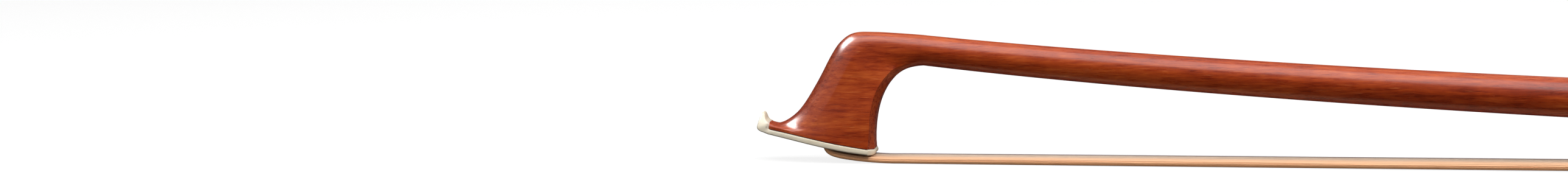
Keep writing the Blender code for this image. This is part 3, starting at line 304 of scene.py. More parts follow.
def makeSilver():
    m = Finish("silver", 1.0)
    cloud = m.noise((160, 160, 160), 4.0, 0.6)
    rub = m.noise((240, 3800, 3800), 2.0, 0.6, (3, 3, 3))
    silver = m.ramp(cloud, [
        (0.3, (0.66, 0.63, 0.57)), (0.55, (0.82, 0.80, 0.76)), (0.8, (0.90, 0.89, 0.86))])
    return m.finished(silver, 0.13 + cloud * 0.14 + rub * 0.1, rub, 0.000004)


def makePearl():
    m = Finish("pearl")
    swirl = m.noise((260, 260, 260), 3.0, 0.6, distortion=1.4)
    layers = m.noise((190, 420, 420), 2.0, 0.5, (6, 1, 2), 2.2)
    shell = m.ramp(swirl, [
        (0.22, (0.52, 0.60, 0.62)), (0.38, (0.76, 0.80, 0.76)), (0.5, (0.86, 0.78, 0.79)),
        (0.62, (0.66, 0.78, 0.74)), (0.78, (0.84, 0.84, 0.88))])
    glint = m.limited(layers, 0.4, 0.62)
    return m.finished(m.between(glint * 0.55, shell, (0.92, 0.90, 0.86)),
                      0.12 + layers * 0.12, layers, 0.00001, coat=0.6, coatRoughness=0.06)


def makeLeather():
    m = Finish("leather")
    pebbles = m.cells((1500, 1500, 1500))
    creases = m.noise((420, 420, 420), 4.0, 0.6)
    grain = pebbles * 0.7 + creases * 0.5
    hide = m.ramp(grain, [
        (0.2, (0.010, 0.006, 0.005)), (0.5, (0.030, 0.016, 0.011)), (0.85, (0.060, 0.034, 0.024))])
    return m.finished(hide, 0.46 + creases * 0.25, grain, 0.00006, gloss=0.3)


def makeSilk():
    m = Finish("silk")
    fluff = m.noise((900, 5200, 5200), 2.0, 0.6)
    broad = m.noise((70, 70, 70), 3.0, 0.5)
    silk = m.ramp(fluff * 0.6 + broad * 0.4, [
        (0.25, (0.055, 0.008, 0.010)), (0.5, (0.13, 0.020, 0.022)), (0.8, (0.23, 0.050, 0.045))])
    return m.finished(silk, 0.33 + fluff * 0.2, sheen=0.25, sheenRoughness=0.4)


def makePlain(name, low, high, roughness, metallic, perMetre):
    # Hidden and half-hidden pieces: one pattern of two tones
    m = Finish(name, metallic)
    pattern = m.noise(perMetre, 3.0, 0.6)
    return m.finished(m.ramp(pattern, [(0.3, low), (0.7, high)]),
                      roughness - 0.08 + pattern * 0.16, pattern, 0.00002)


finishes = {
    "pernambuco": makePernambuco(),
    "bone": makeBone(),
    "horsehair": makeHorsehair(),
    "ebony": makeEbony(),
    "liner_black": makeLiner(),
    "silver": makeSilver(),
    "pearl": makePearl(),
    "leather": makeLeather(),
    "silk": makeSilk(),
}
# low tone, high tone, roughness, metallic, pattern per metre
plainFinishes = {
    "tied_thread": ((0.42, 0.12, 0.05), (0.66, 0.28, 0.14), 0.7, 0.0, (5000, 900, 5000)),
    "plug_wood": ((0.42, 0.25, 0.11), (0.68, 0.47, 0.25), 0.6, 0.0, (220, 2600, 2600)),
    "steel": ((0.34, 0.34, 0.36), (0.56, 0.56, 0.58), 0.3, 1.0, (900, 900, 900)),
    "brass": ((0.58, 0.40, 0.14), (0.80, 0.60, 0.27), 0.3, 1.0, (900, 900, 900)),
}
for name, words in plainFinishes.items():
    finishes[name] = makePlain(name, *words)
print("finishes made:", len(finishes))


# Shared mesh work

def mix(a, b, t):
    return a + (b - a) * t


def held(value, low=0.0):
    # The value kept between a lower limit and 1
    return min(1.0, max(low, value))


def cubic(a, b, c, d, f):
    # A smooth step from b to c, with a and d as the neighbours on either side
    return b + 0.5 * f * (c - a + f * (2 * a - 5 * b + 4 * c - d + f * (3 * (b - c) + d - a)))


def dress(piece, slotName, body, node):
    # Finish, slot, the node it stands for and the body that carries it
    piece.data.materials.clear()
    piece.data.materials.append(finishes[slotName])
    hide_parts(node)
    if body:
        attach(piece, body)
    return piece


def faceOutward(mesh):
    # Turns every face of a closed mesh to the outside
    build = bmesh.new()
    build.from_mesh(mesh)
    bmesh.ops.recalc_face_normals(build, faces=build.faces)
    build.to_mesh(mesh)
    build.free()


def meshPiece(name, points, faces, sharp=35):
    mesh = bpy.data.meshes.new(name)
    mesh.from_pydata([tuple(p) for p in points], [], faces)
    faceOutward(mesh)
    piece = bpy.data.objects.new(name, mesh)
    scene.collection.objects.link(piece)
    smoothOver(piece, sharp)
    return piece


def smoothOver(piece, sharp):
    # Smooth shading, but for edges sharper than the given degrees
    piece.data.shade_smooth()
    piece.data.set_sharp_from_angle(angle=math.radians(sharp))


def skin(name, rings, sharp=35, closed=False):
    # A surface over rings of equal counts, with its two ends filled
    count = len(rings[0])
    points = [p for ring in rings for p in ring]
    faces = []
    for r in range(len(rings) if closed else len(rings) - 1):
        a = r * count
        b = (r + 1) % len(rings) * count
        for i in range(count):
            j = (i + 1) % count
            faces.append((a + i, a + j, b + j, b + i))
    if not closed:
        faces += [tuple(range(count)), tuple(range(len(points) - count, len(points)))]
    return meshPiece(name, points, faces, sharp)


def settled(piece):
    # The piece with its modifiers worked into a plain mesh
    bpy.context.view_layer.update()
    graph = bpy.context.evaluated_depsgraph_get()
    mesh = bpy.data.meshes.new_from_object(piece.evaluated_get(graph))
    piece.modifiers.clear()
    piece.data = mesh
    return piece


def carve(piece, cutter, operation="DIFFERENCE"):
    modifier = piece.modifiers.new("carving", "BOOLEAN")
    modifier.operation = operation
    modifier.object = cutter
    modifier.solver = "EXACT"
    settled(piece)
    bpy.data.objects.remove(cutter, do_unlink=True)
    return piece


def smoothPath(points, longest):
    # Points read from a smooth curve through the given ones, a stretch at a time
    dense = []
    last = len(points) - 1
    for i in range(last):
        p0, p3 = points[max(i - 1, 0)], points[min(i + 2, last)]
        p1, p2 = points[i], points[i + 1]
        span = (p2 - p1).length
        before = (p1 - p0).length or span
        after = (p3 - p2).length or span
        leaveWay = ((p2 - p1) / span + (p1 - p0) / before).normalized()
        arriveWay = ((p3 - p2) / after + (p2 - p1) / span).normalized()
        if i == 0:
            leaveWay = (p2 - p1).normalized()
        if i == last - 1:
            arriveWay = (p2 - p1).normalized()
        steps = max(3, math.ceil(span / longest))
        for k in range(steps):
            t = k / steps
            dense.append(p1 * (2 * t ** 3 - 3 * t ** 2 + 1) + p2 * (3 * t ** 2 - 2 * t ** 3)
                         + leaveWay * span * (t ** 3 - 2 * t ** 2 + t)
                         + arriveWay * span * (t ** 3 - t ** 2))
    dense.append(points[-1])
    return dense


def sweptThreads(name, lines, radius, sides, slotName):
    # Threads along given lines. Each line is a list of points with its named traits.
    mesh = bpy.data.meshes.new(name)
    points = []
    edges = []
    traits = {}
    for line, words in lines:
        first = len(points)
        points += [tuple(p) for p in line]
        edges += [(first + i, first + i + 1) for i in range(len(line) - 1)]
        for trait, value in words.items():
            traits.setdefault(trait, []).extend([value] * len(line))
    mesh.from_pydata(points, edges, [])
    for trait, values in traits.items():
        mesh.attributes.new(trait, "FLOAT", "POINT").data.foreach_set("value", values)
    piece = bpy.data.objects.new(name, mesh)
    scene.collection.objects.link(piece)

    group = bpy.data.node_groups.new(name + "Sweep", "GeometryNodeTree")
    face = group.interface
    face.new_socket("Geometry", in_out="OUTPUT", socket_type="NodeSocketGeometry")
    face.new_socket("Geometry", in_out="INPUT", socket_type="NodeSocketGeometry")
    inputs = {}
    for label, kind in (("Thread Radius", "NodeSocketFloat"), ("Sides", "NodeSocketInt"),
                        ("Finish", "NodeSocketMaterial")):
        inputs[label] = face.new_socket(label, in_out="INPUT", socket_type=kind).identifier
    tree = Tree(group)
    start = group.nodes.new("NodeGroupInput")
    wires = {socket.name: Wire(tree, socket) for socket in start.outputs if socket.name}
    curve = tree.add("GeometryNodeMeshToCurve", None, {0: wires["Geometry"]})
    section = tree.add("GeometryNodeCurvePrimitiveCircle", {"mode": "RADIUS"},
                       {"Resolution": wires["Sides"], "Radius": wires["Thread Radius"]})
    tube = tree.add("GeometryNodeCurveToMesh", None,
                    {"Curve": curve, "Profile Curve": section, "Fill Caps": True})
    smooth = tree.add("GeometryNodeSetShadeSmooth", None, {0: tube})
    real = tree.add("GeometryNodeRealizeInstances", None, {0: smooth})
    done = tree.add("GeometryNodeSetMaterial", None, {0: real, "Material": wires["Finish"]})
    end = group.nodes.new("NodeGroupOutput")
    group.links.new(done.socket, end.inputs[0])

    modifier = piece.modifiers.new("sweep", "NODES")
    modifier.node_group = group
    modifier[inputs["Thread Radius"]] = radius
    modifier[inputs["Sides"]] = sides
    modifier[inputs["Finish"]] = finishes[slotName]
    settled(piece)
    faceOutward(piece.data)
    piece.data.shade_smooth()
    return piece


# Main lines of the bow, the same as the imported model's
bow = {
    "heelX": -0.34695,
    "stickReach": 0.705,
    "lowAt": 0.260,
    "camberEnd": 0.518,
    "lowHeight": 0.0095,
    "handleAcross": 0.0086,
    "neckAcross": 0.0056,
    "taperLength": 0.165,
    "facetLength": 0.118,
    "roundingLength": 0.030,
    "neckAt": 0.008,
    "neckDrop": 0.0034,
    "neckSweep": 0.00078,
    "neckSweepLength": 0.022,
    "mouth": 0.0545,
    "axisDrop": 0.0213,
}
heelX = bow["heelX"]
handleSlope = (bow["axisDrop"] - bow["lowHeight"]) / (
    (bow["camberEnd"] - bow["lowAt"]) / 2 + bow["stickReach"] - bow["mouth"] - bow["camberEnd"])
handleAngle = math.atan(handleSlope)


def stickAxis(s):
    # Height and slope of the stick's middle, at a distance from the head's heel
    low = bow["lowHeight"]
    if s >= bow["lowAt"]:
        bend = handleSlope / (bow["camberEnd"] - bow["lowAt"])
        curved = min(s, bow["camberEnd"]) - bow["lowAt"]
        straight = max(0.0, s - bow["camberEnd"])
        return low + bend * curved ** 2 / 2 + handleSlope * straight, bend * curved
    sweep = bow["neckSweep"] * math.exp(-s / bow["neckSweepLength"])
    sweepAtNeck = bow["neckSweep"] * math.exp(-bow["neckAt"] / bow["neckSweepLength"])
    rise = head["height"] - bow["neckDrop"] - low - sweepAtNeck
    bend = 2 * rise / (bow["lowAt"] - bow["neckAt"]) ** 2
    back = bow["lowAt"] - s
    return low + bend * back ** 2 / 2 + sweep, -bend * back - sweep / bow["neckSweepLength"]


def stickHalf(s):
    left = math.exp(-(s - bow["neckAt"]) / bow["taperLength"])
    return mix(bow["handleAcross"], bow["neckAcross"], left) / 2


def stickPoint(s, angle, lift=0.0, softening=0.0):
    # A point round the stick, counted from the top. Softening rounds the octagon's corners.
    facet = (angle + math.pi / 8) % (math.pi / 4) - math.pi / 8
    start = bow["stickReach"] - bow["facetLength"]
    roundish = held((start - s) / bow["roundingLength"], softening)
    half = stickHalf(s)
    radius = mix(half / math.cos(facet), half, roundish) + lift
    height, slope = stickAxis(s)
    tilt = math.atan(slope)
    up = radius * math.cos(angle)
    return Vector((heelX + s - up * math.sin(tilt), radius * math.sin(angle),
                   height + up * math.cos(tilt)))


# Head. Front and rear outlines are shares of its length and of the height between the
# plate's seat and the top. Roundness, flare, bluntness, bevel and curl have a value for each
# of the outlines' points, from the neck down; ridge and blunt are half sections of its front.
head = {
    "height": 0.0239,
    "length": 0.0219,
    "width": 0.0056,
    "chamfer": 0.0012,
    "front": ((0.160, 0.9885), (-0.068, 1.0), (-0.237, 0.991), (-0.347, 0.915),
              (-0.429, 0.786), (-0.548, 0.522), (-0.676, 0.265), (-0.785, 0.117),
              (-0.895, 0.034), (-0.990, 0.050)),
    "rear": ((0.256, 0.7066), (0.190, 0.680), (0.138, 0.643), (0.091, 0.595),
             (0.052, 0.541), (0.012, 0.464), (-0.020, 0.375), (-0.042, 0.282),
             (-0.055, 0.190), (-0.062, 0.103), (-0.062, 0.035)),
    "rearFoot": 0.058,
    "woodEnd": ((-0.0208, 0.0055), (-0.0211, 0.0085)),
    # x from the heel and how far the plate's seat is lowered there
    "sag": ((-0.024, -0.00010), (-0.0185, -0.00010), (-0.0168, -0.00007), (-0.0145, 0.00001),
            (-0.0122, 0.00010), (-0.0100, 0.00017), (-0.0077, 0.00021), (-0.0054, 0.00021),
            (-0.0031, 0.00016), (-0.0009, 0.00013), (0.0010, 0.00012)),
    "domeFrom": -0.010,
    "domeTo": -0.0185,
    "dome": 0.96,
    "softBand": 0.004,
    "roundness": (1.0, 0.8, 0.45, 0.15, 0, 0, 0, 0, 0, 0, 0, 0, 0),
    "flare": (0, 0, 0.04, 0.13, 0.24, 0.38, 0.54, 0.70, 0.82, 0.90, 0.95, 0.98, 1.0),
    "bluntness": (0, 0, 0, 0, 0, 0.01, 0.03, 0.08, 0.16, 0.28, 0.46, 0.72, 1.0),
    "bevel": (0, 0.3, 0.7, 1.0, 1.0, 1.0, 1.0, 0.9, 0.75, 0.6, 0.55, 0.65, 0.8),
    "curl": (1, 1, 1, 1, 1, 1, 1, 1, 1, 2.5, 8, 8, 1),
    "ridge": ((1.0, 0.0), (0.985, 0.30), (0.95, 0.55), (0.89, 0.78), (0.80, 0.93), (0.68, 1.0)),
    "blunt": ((1.0, 0.0), (1.0, 0.5), (1.0, 1.0), (0.93, 1.0), (0.83, 1.0), (0.70, 1.0)),
    "halfRing": 64,
    "steps": 8,
    "stickRings": 150,
    "nipple": ((-0.002, 0.0024), (0.0014, 0.0024), (0.0016, 0.0022)),
    "screwBore": ((-0.078, 0.0016), (0.01, 0.0016)),
    "eyeletSlot": ((-0.036, -0.0025, -0.0086), (-0.018, 0.0025, 0.0030)),
}
plate = {
    "heelHeight": 0.00125,
    "slope": 0.17,
    "thickness": 0.0010,
    "width": 0.0100,
    "rear": 0.0011,
    "cornerLength": 0.0011,
    "cornerWidth": 0.0023,
    "linerThickness": 0.00035,
    "linerShown": 0.00011,
    "glue": 0.0001,
    "reach": 0.0236,
    "beakWidth": 0.0038,
    "mortiseFront": 0.0109,
    "mortiseLength": 0.0084,
    "mortiseWidth": 0.0084,
    "mortiseRoofWidth": 0.0044,
    "mortiseDepth": 0.0048,
    "draft": 0.0004,
}


def seatHeight(x):
    stack = plate["thickness"] + plate["linerThickness"] + 2 * plate["glue"]
    return plate["heelHeight"] + stack - plate["slope"] * x


def plateLine(x, lift=0.0):
    return plate["heelHeight"] - plate["slope"] * x + lift


def plateHalf(x):
    share = held(-x / plate["reach"])
    return mix(plate["width"], plate["beakWidth"], share ** 3.2) / 2


def through(values, t):
    # Smooth through the values, and straight over the last two stretches
    last = len(values) - 1
    i = min(int(t), last - 1)
    f = t - i
    if i >= last - 2:
        return mix(values[i], values[i + 1], f)
    return cubic(values[max(i - 1, 0)], values[i], values[i + 1], values[min(i + 2, last - 2)], f)


def mirroredTable(table, column, t):
    # Smooth through a half section's table, mirrored about its first row
    def at(k):
        if k < 0:
            return table[-k][column] * (-1 if column else 1)
        if k >= len(table):
            return 2 * table[-1][column] - table[-2][column]
        return table[k][column]

    i = min(int(t), len(table) - 2)
    return cubic(at(i - 1), at(i), at(i + 1), at(i + 2), t - i)


def headLines():
    # Front and rear outlines, from the neck down to the plate's seat
    height, slope = stickAxis(bow["neckAt"])
    half = stickHalf(bow["neckAt"])

    def placed(share):
        x = share[0] * head["length"]
        return (x, mix(seatHeight(x), head["height"], share[1]))

    front = [(bow["neckAt"] - half * slope, height + half)] + [placed(p) for p in head["front"]]
    rear = [(bow["neckAt"] + half * slope, height - half)] + [placed(p) for p in head["rear"]]
    for line, sign in ((front, 1), (rear, -1)):
        # one more point on the stick, so that the head's lines leave it without a kink
        s = bow["neckAt"] + line[0][0] - line[1][0]
        line.insert(0, (s, stickAxis(s)[0] + sign * stickHalf(s)))
    corner = (-head["length"], seatHeight(-head["length"]))
    front.append((mix(front[-1][0], corner[0], 0.6), mix(front[-1][1], corner[1], 0.6)))
    front.append(corner)
    foot = -head["rearFoot"] * head["length"]
    rear.append((foot, seatHeight(foot)))
    return front, rear


def headRing(front, rear, t):
    # One closed section. Half of it is sixteen steps: five over the ridge, seven down the
    # cheek, two over the bevel and two across the rear.
    fx, fz, rx, rz = (through([p[k] for p in line], t + 1)
                      for line in (front, rear) for k in (0, 1))
    flare, blunt, roundish, curl, bevel = (
        through(head[key], t) for key in ("flare", "bluntness", "roundness", "curl", "bevel"))
    bevel *= head["chamfer"]
    seat = seatHeight(fx) if curl > 1 else fz
    cornerShare = bevel / math.hypot(fx - rx, fz - rz)

    def cheek(u):
        upper = head["width"] / 2 * (1 - 0.25 * (1 - roundish) * u * u)
        return mix(upper, plateHalf(mix(rx, fx, u)), flare)

    half = []
    for k in range(head["halfRing"] + 1):
        i = 16 * k / head["halfRing"]
        if i <= 5:
            u = mix(mirroredTable(head["ridge"], 0, i), mirroredTable(head["blunt"], 0, i), blunt)
            w = cheek(u) * mix(mirroredTable(head["ridge"], 1, i),
                               min(1.0, mirroredTable(head["blunt"], 1, i)), blunt)
        elif i <= 12:
            shoulder = mix(head["ridge"][-1][0], head["blunt"][-1][0], blunt)
            u = mix(shoulder, cornerShare, (i - 5) / 7)
            w = cheek(u)
        else:
            share = (i - 12) / 2
            u = cornerShare * max(0.0, 1 - share)
            w = mix(cheek(0), head["width"] / 2 - bevel * 0.85, min(1.0, share))
            w *= min(1.0, (16 - i) / 2)
        angle = math.pi * i / 16
        u = mix(u, (1 + math.cos(angle)) / 2, roundish)
        w = mix(w, head["width"] / 2 * math.sin(angle), roundish)
        z = mix(rz, seat, u) + (fz - seat) * u ** curl
        half.append((heelX + mix(rx, fx, u), w, z))
    return half + [(x, -y, z) for x, y, z in half[-2:0:-1]]


def domed(ring):
    # The wood behind the beak falls away to the plate's two edges
    done = []
    for x, y, z in ring:
        along = x - heelX
        seat = seatHeight(along)
        above = max(0.0, z - seat)
        reach = held((along - head["domeFrom"]) / (head["domeTo"] - head["domeFrom"]))
        low = held(1.5 - above / head["softBand"])
        edge = held(abs(y) / plateHalf(along))
        done.append((x, y, z - above * head["dome"] * reach * low * edge ** 3))
    return done


def taperedBlock(name, low, high):
    # A block between two levels: x from and to, half width and height of each
    rings = []
    for xFrom, xTo, half, z in (low, high):
        rings.append([(heelX + xFrom, -half, z), (heelX + xTo, -half, z),
                      (heelX + xTo, half, z), (heelX + xFrom, half, z)])
    return skin(name, rings)


def sagged(piece):
    # The plate and its seat are a little bowed, which fades out above the seat
    table = head["sag"]
    for corner in piece.data.vertices:
        x, z = corner.co.x - heelX, corner.co.z
        if x > head["softBand"]:
            continue
        i = max(k for k in range(len(table) - 1) if k == 0 or table[k][0] <= x)
        share = held((x - table[i][0]) / (table[i + 1][0] - table[i][0]))
        fade = held(1 - (z - seatHeight(x)) / head["softBand"])
        corner.co.z = z - mix(table[i][1], table[i + 1][1], share) * fade


def mortiseHalf(z):
    middle = -plate["mortiseFront"] + plate["mortiseLength"] / 2
    mouth = plateLine(middle)
    roof = seatHeight(middle) + plate["mortiseDepth"]
    return mix(plate["mortiseWidth"], plate["mortiseRoofWidth"], (z - mouth) / (roof - mouth)) / 2


def mortiseCutter():
    front = -plate["mortiseFront"]
    back = front + plate["mortiseLength"]
    middle = (front + back) / 2
    roof = seatHeight(middle) + plate["mortiseDepth"]
    return taperedBlock("mortiseCutter", (front, back, mortiseHalf(0), 0),
                        (front + plate["draft"], back - plate["draft"],
                         plate["mortiseRoofWidth"] / 2, roof))


stickEnd = (heelX + bow["stickReach"], 0, stickAxis(bow["stickReach"])[0])
handle = Matrix.Translation(stickEnd) @ Matrix.Rotation(-handleAngle, 4, "Y")


def frogPoint(e, h):
    # A place by its distance from the stick's end and its height over the ferrule's underside
    return handle @ Vector((-e, 0, h - bow["axisDrop"]))


def turned(name, profile, sides=48):
    # A round piece on the handle's axis: rows of distance from the stick's end and radius
    angles = [2 * math.pi * i / sides for i in range(sides)]
    return skin(name, [[handle @ Vector((x, radius * math.sin(a), radius * math.cos(a)))
                        for a in angles] for x, radius in profile])


def slab(name, low, high):
    # A box in the handle's frame
    corners = [handle @ Vector((x, y, z)) for x in (low[0], high[0])
               for y, z in ((low[1], low[2]), (high[1], low[2]), (high[1], high[2]),
                            (low[1], high[2]))]
    return skin(name, [corners[:4], corners[4:]])


def makeStick():
    front, rear = headLines()
    rings = []
    for k in range(head["stickRings"] + 1):
        s = mix(bow["stickReach"], bow["neckAt"], k / head["stickRings"])
        rings.append([stickPoint(s, math.pi * i / head["halfRing"])
                      for i in range(2 * head["halfRing"])])
    stations = len(front) - 2
    marks = [k / head["steps"] for k in range(1, (stations - 2) * head["steps"] + 1)]
    marks += [stations - 2 + k / 4 for k in range(1, 9)]
    rings += [domed(headRing(front, rear, t)) for t in marks]
    drop = plate["linerThickness"] + 2 * plate["glue"] - plate["linerShown"]
    rings.append([(x, y, z - drop) for x, y, z in rings[-1]])
    stick = skin("bowStick", rings, 32)
    carve(stick, turned("nipple", head["nipple"]), "UNION")
    carve(stick, turned("screwBore", head["screwBore"], 24))
    carve(stick, slab("eyeletSlot", *head["eyeletSlot"]))
    carve(stick, mortiseCutter())
    carve(stick, taperedBlock("beakSeat", *((-0.026, x, 0.006, z) for x, z in head["woodEnd"])))
    sagged(stick)
    smoothOver(stick, 32)
    return dress(stick, "pernambuco", "stick", "stick")


makeStick()
print("stick made")


def plateRing(outer, inner, half, corner):
    # A rounded oblong section across the plate, between its outer and inner lines
    outer = Vector((outer[0], 0, outer[1]))
    inner = Vector((inner[0], 0, inner[1]))
    thick = (inner - outer).length
    across = (inner - outer) / thick
    bend = min(corner, thick * 0.45, half * 0.45)
    ring = []
    steps = 4
    for side, centre, start in ((1, bend, -90), (1, thick - bend, 0), (-1, thick - bend, 90),
                                (-1, bend, 180)):
        for k in range(steps + 1):
            a = math.radians(start + 90 * k / steps)
            y = side * (half - bend) + bend * math.cos(a)
            v = centre + bend * math.sin(a)
            ring.append(Vector((heelX, 0, 0)) + outer + across * v + Vector((0, y, 0)))
    return ring


def plateEdge(x, rear):
    # Half the plate's width, with its corners at the heel cut off
    shoulder = rear - plate["cornerLength"]
    full = plateHalf(min(x, shoulder))
    if x > shoulder:
        full -= plate["cornerWidth"] * (x - shoulder) / plate["cornerLength"]
    return full


def underside(x):
    # The plate's lower face sags a little in the middle and rises to the beak
    share = -x / plate["reach"]
    return (plateLine(x) + 0.00016 * share ** 4 - 0.00032 * share * (1 - share)
            - 0.0001 * min(1.0, share * 4))


# Beak from the plate's underside up to its tip and down behind: outer and inner line
beak = {
    "outer": ((-0.02200, 0.00513), (-0.02240, 0.00525), (-0.02275, 0.00542), (-0.02300, 0.00560),
              (-0.02317, 0.00578), (-0.02326, 0.00605), (-0.02324, 0.00638), (-0.02310, 0.00687),
              (-0.02293, 0.00740), (-0.02277, 0.00792), (-0.02262, 0.00836), (-0.02250, 0.00864),
              (-0.02240, 0.00880), (-0.02228, 0.00886)),
    "inner": ((-0.02095, 0.00595), (-0.02090, 0.00615), (-0.02087, 0.00635), (-0.02087, 0.00655),
              (-0.02089, 0.00675), (-0.02094, 0.00693), (-0.02112, 0.00704), (-0.02138, 0.00718),
              (-0.02160, 0.00742), (-0.02172, 0.00772), (-0.02180, 0.00806), (-0.02188, 0.00842),
              (-0.02198, 0.00868), (-0.02212, 0.00884)),
    "half": (1.0, 1.0, 1.0, 0.995, 0.99, 0.975, 0.945, 0.90, 0.84, 0.76, 0.67, 0.57, 0.47, 0.38),
    "root": 0.0027,
}


def makeHeadPlate():
    rear = -plate["rear"]
    thick = plate["thickness"]
    rows = []
    for x, inset in ((rear, 0.36), (rear - 0.00006, 0.22), (rear - 0.00018, 0.10),
                     (rear - 0.00036, 0.03), (rear - 0.0006, 0.0), (rear - 0.0009, 0.0)):
        rows.append(((x, underside(x) + thick * inset),
                     (x, plateLine(x, thick * (1 - inset * 0.7))), plateEdge(x, rear)))
    x = rear - plate["cornerLength"]
    while x > -0.0205:
        rows.append(((x, underside(x)), (x, plateLine(x, thick)), plateHalf(x)))
        x -= 0.0007
    rows.append(((-0.0212, underside(-0.0212)), (-0.0209, plateLine(-0.0209, thick)),
                 plateHalf(-0.0210)))
    for outer, inner, share in zip(beak["outer"], beak["inner"], beak["half"]):
        rows.append((outer, inner, beak["root"] * share))
    rings = [plateRing(outer, inner, half, 0.00030) for outer, inner, half in rows]
    piece = skin("headPlate", rings, 50)
    carve(piece, mortiseCutter())
    sagged(piece)
    smoothOver(piece, 50)
    return dress(piece, "bone", "stick", "tip_plate")


def makeLinerSheet():
    rear = -plate["rear"] - 0.0002
    lift = plate["thickness"] + 0.00001
    top = plate["thickness"] + plate["linerShown"]
    rings = []
    places = [rear, rear - plate["cornerLength"] / 2]
    x = rear - plate["cornerLength"]
    while x > -0.0207:
        places.append(x)
        x -= 0.0007
    for x in places:
        rings.append(plateRing((x, plateLine(x, lift)), (x, plateLine(x, top)),
                               plateEdge(x, rear) - 0.00004, 0.00004))
    piece = skin("headLiner", rings, 50)
    carve(piece, mortiseCutter())
    sagged(piece)
    smoothOver(piece, 50)
    return dress(piece, "liner_black", "stick", "tip_liner")


makeHeadPlate()
makeLinerSheet()
print("head plate made")


# Hair: a solid core wrapped in single strands
hank = {
    "widthHead": 0.0080,
    "widthFerrule": 0.0104,
    "widthFrog": 0.0064,
    "thickHead": 0.0010,
    "thickFerrule": 0.0013,
    "strands": 190,
    "strandRadius": 0.000085,
    "sides": 5,
    "wander": 0.009,
    "seed": 11,
    "sag": 0.00012,
    "ferruleFloor": 0.00062,
    "channelFloor": 0.00195,
    "channelEnd": 0.0322,
    "stretchFrom": -0.33,
    "stretchTo": 0.300,
}


def hankRows():
    # Middle line of the hank with its half width and half thickness
    half = hank["thickHead"] / 2
    low = half - hank["sag"]
    wall = -plate["mortiseFront"] + 0.0003 + plate["draft"] + half
    out = plateLine(-plate["mortiseFront"])
    headPart = [(wall, out + 0.0026), (wall - 0.00005, out + 0.0012),
                (wall - 0.00035, out + 0.0001), (wall - 0.00032, out - 0.0005),
                (wall + 0.00025, out - 0.0012), (wall + 0.0014, out - 0.0017),
                (wall + 0.0043, low + 0.00050), (wall + 0.0072, low + 0.00020), (0.001, low)]
    mouthHeight = hank["ferruleFloor"] + hank["thickFerrule"] / 2
    wayHeight = hank["channelFloor"] + half
    turnAt = hank["channelEnd"] - half
    frogPart = [(bow["mouth"], mouthHeight), (bow["mouth"] - 0.003, mouthHeight),
                (0.0465, mouthHeight + 0.0001), (0.0434, wayHeight), (turnAt + 0.003, wayHeight),
                (turnAt + 0.0007, wayHeight + 0.0001), (turnAt, wayHeight + 0.0008),
                (turnAt, wayHeight + 0.0026)]
    line = [Vector((heelX + x, 0, z)) for x, z in headPart]
    heelPlace = line[-1]
    mouthPlace = frogPoint(*frogPart[0])
    run = mouthPlace.x - heelPlace.x
    line += [heelPlace.lerp(mouthPlace, share)
             for share in (0.006, 0.03, 0.15, 0.4, 0.65, 0.9, 0.98, 0.994)]
    line += [frogPoint(e, h) for e, h in frogPart]
    dense = smoothPath(line, 0.018)
    rows = []
    for i, point in enumerate(dense):
        way = (dense[min(i + 1, len(dense) - 1)] - dense[max(i - 1, 0)]).normalized()
        share = (point.x - heelPlace.x) / run
        if share <= 0:
            width, thick = hank["widthHead"], hank["thickHead"]
            if point.z > plateLine(point.x - heelX):
                width = min(width, 2 * (mortiseHalf(point.z) - 0.0003))
        elif share <= 1:
            width = mix(hank["widthHead"], hank["widthFerrule"], math.sqrt(share))
            thick = mix(hank["thickHead"], hank["thickFerrule"], math.sqrt(share))
        else:
            inside = min(1.0, (point.x - mouthPlace.x) / 0.0115)
            width = mix(hank["widthFerrule"], hank["widthFrog"], inside)
            thick = mix(hank["thickFerrule"], hank["thickHead"], inside)
        rows.append((point, Vector((-way.z, 0, way.x)), width / 2, thick / 2))
    return rows


def hankPlace(row, share, inset):
    # A point on the hank's outside: a share of the way round its section
    point, up, halfWidth, halfThick = row
    w = halfWidth - halfThick
    r = halfThick - inset
    around = 4 * w + 2 * math.pi * r
    d = share % 1.0 * around
    if d < 2 * w:
        return point + Vector((0, d - w, 0)) + up * r
    d -= 2 * w
    if d < math.pi * r:
        a = d / r
        return point + Vector((0, w + r * math.sin(a), 0)) + up * r * math.cos(a)
    d -= math.pi * r
    if d < 2 * w:
        return point + Vector((0, w - d, 0)) - up * r
    a = (d - 2 * w) / r
    return point + Vector((0, -w - r * math.sin(a), 0)) - up * r * math.cos(a)


def makeHank():
    rows = hankRows()
    core = skin("hankCore", [[hankPlace(row, k / 48, 0.00008) for k in range(48)]
                             for row in rows], 60)
    rng = random.Random(hank["seed"])
    lines = []
    for k in range(hank["strands"]):
        share = k / hank["strands"]
        tone = rng.random()
        waves = [(rng.uniform(0.5, 1.0), rng.uniform(12, 45), rng.uniform(0, 6.28))
                 for _ in range(2)]
        deep = rng.uniform(0.0, 0.00003)
        line = []
        for row in rows:
            x = row[0].x
            drift = sum(size * math.sin(x * rate + phase) for size, rate, phase in waves)
            line.append(hankPlace(row, share + hank["wander"] * drift / 2,
                                  hank["strandRadius"] * 0.7 + deep))
        point, up, halfWidth, halfThick = rows[len(rows) // 2]
        middle = line[len(rows) // 2]
        side = (middle - point).dot(up) / halfThick
        # how high a strand lies round the hank, which the horsehair finish turns into painted
        # light on top and painted shade underneath
        lines.append((line, {"strandTone": tone, "strandUpper": held(side * 1.1),
                             "strandFar": middle.y / halfWidth}))
    strands = sweptThreads("hankStrands", lines, hank["strandRadius"], hank["sides"], "horsehair")
    for trait, value in (("strandTone", 0.3), ("strandUpper", 0.2), ("strandFar", 0.0)):
        values = [value] * len(core.data.vertices)
        core.data.attributes.new(trait, "FLOAT", "POINT").data.foreach_set("value", values)
    for piece in (core, strands):
        dress(piece, "horsehair", None, "hair")
        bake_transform(piece)


makeHank()
print("hair made")


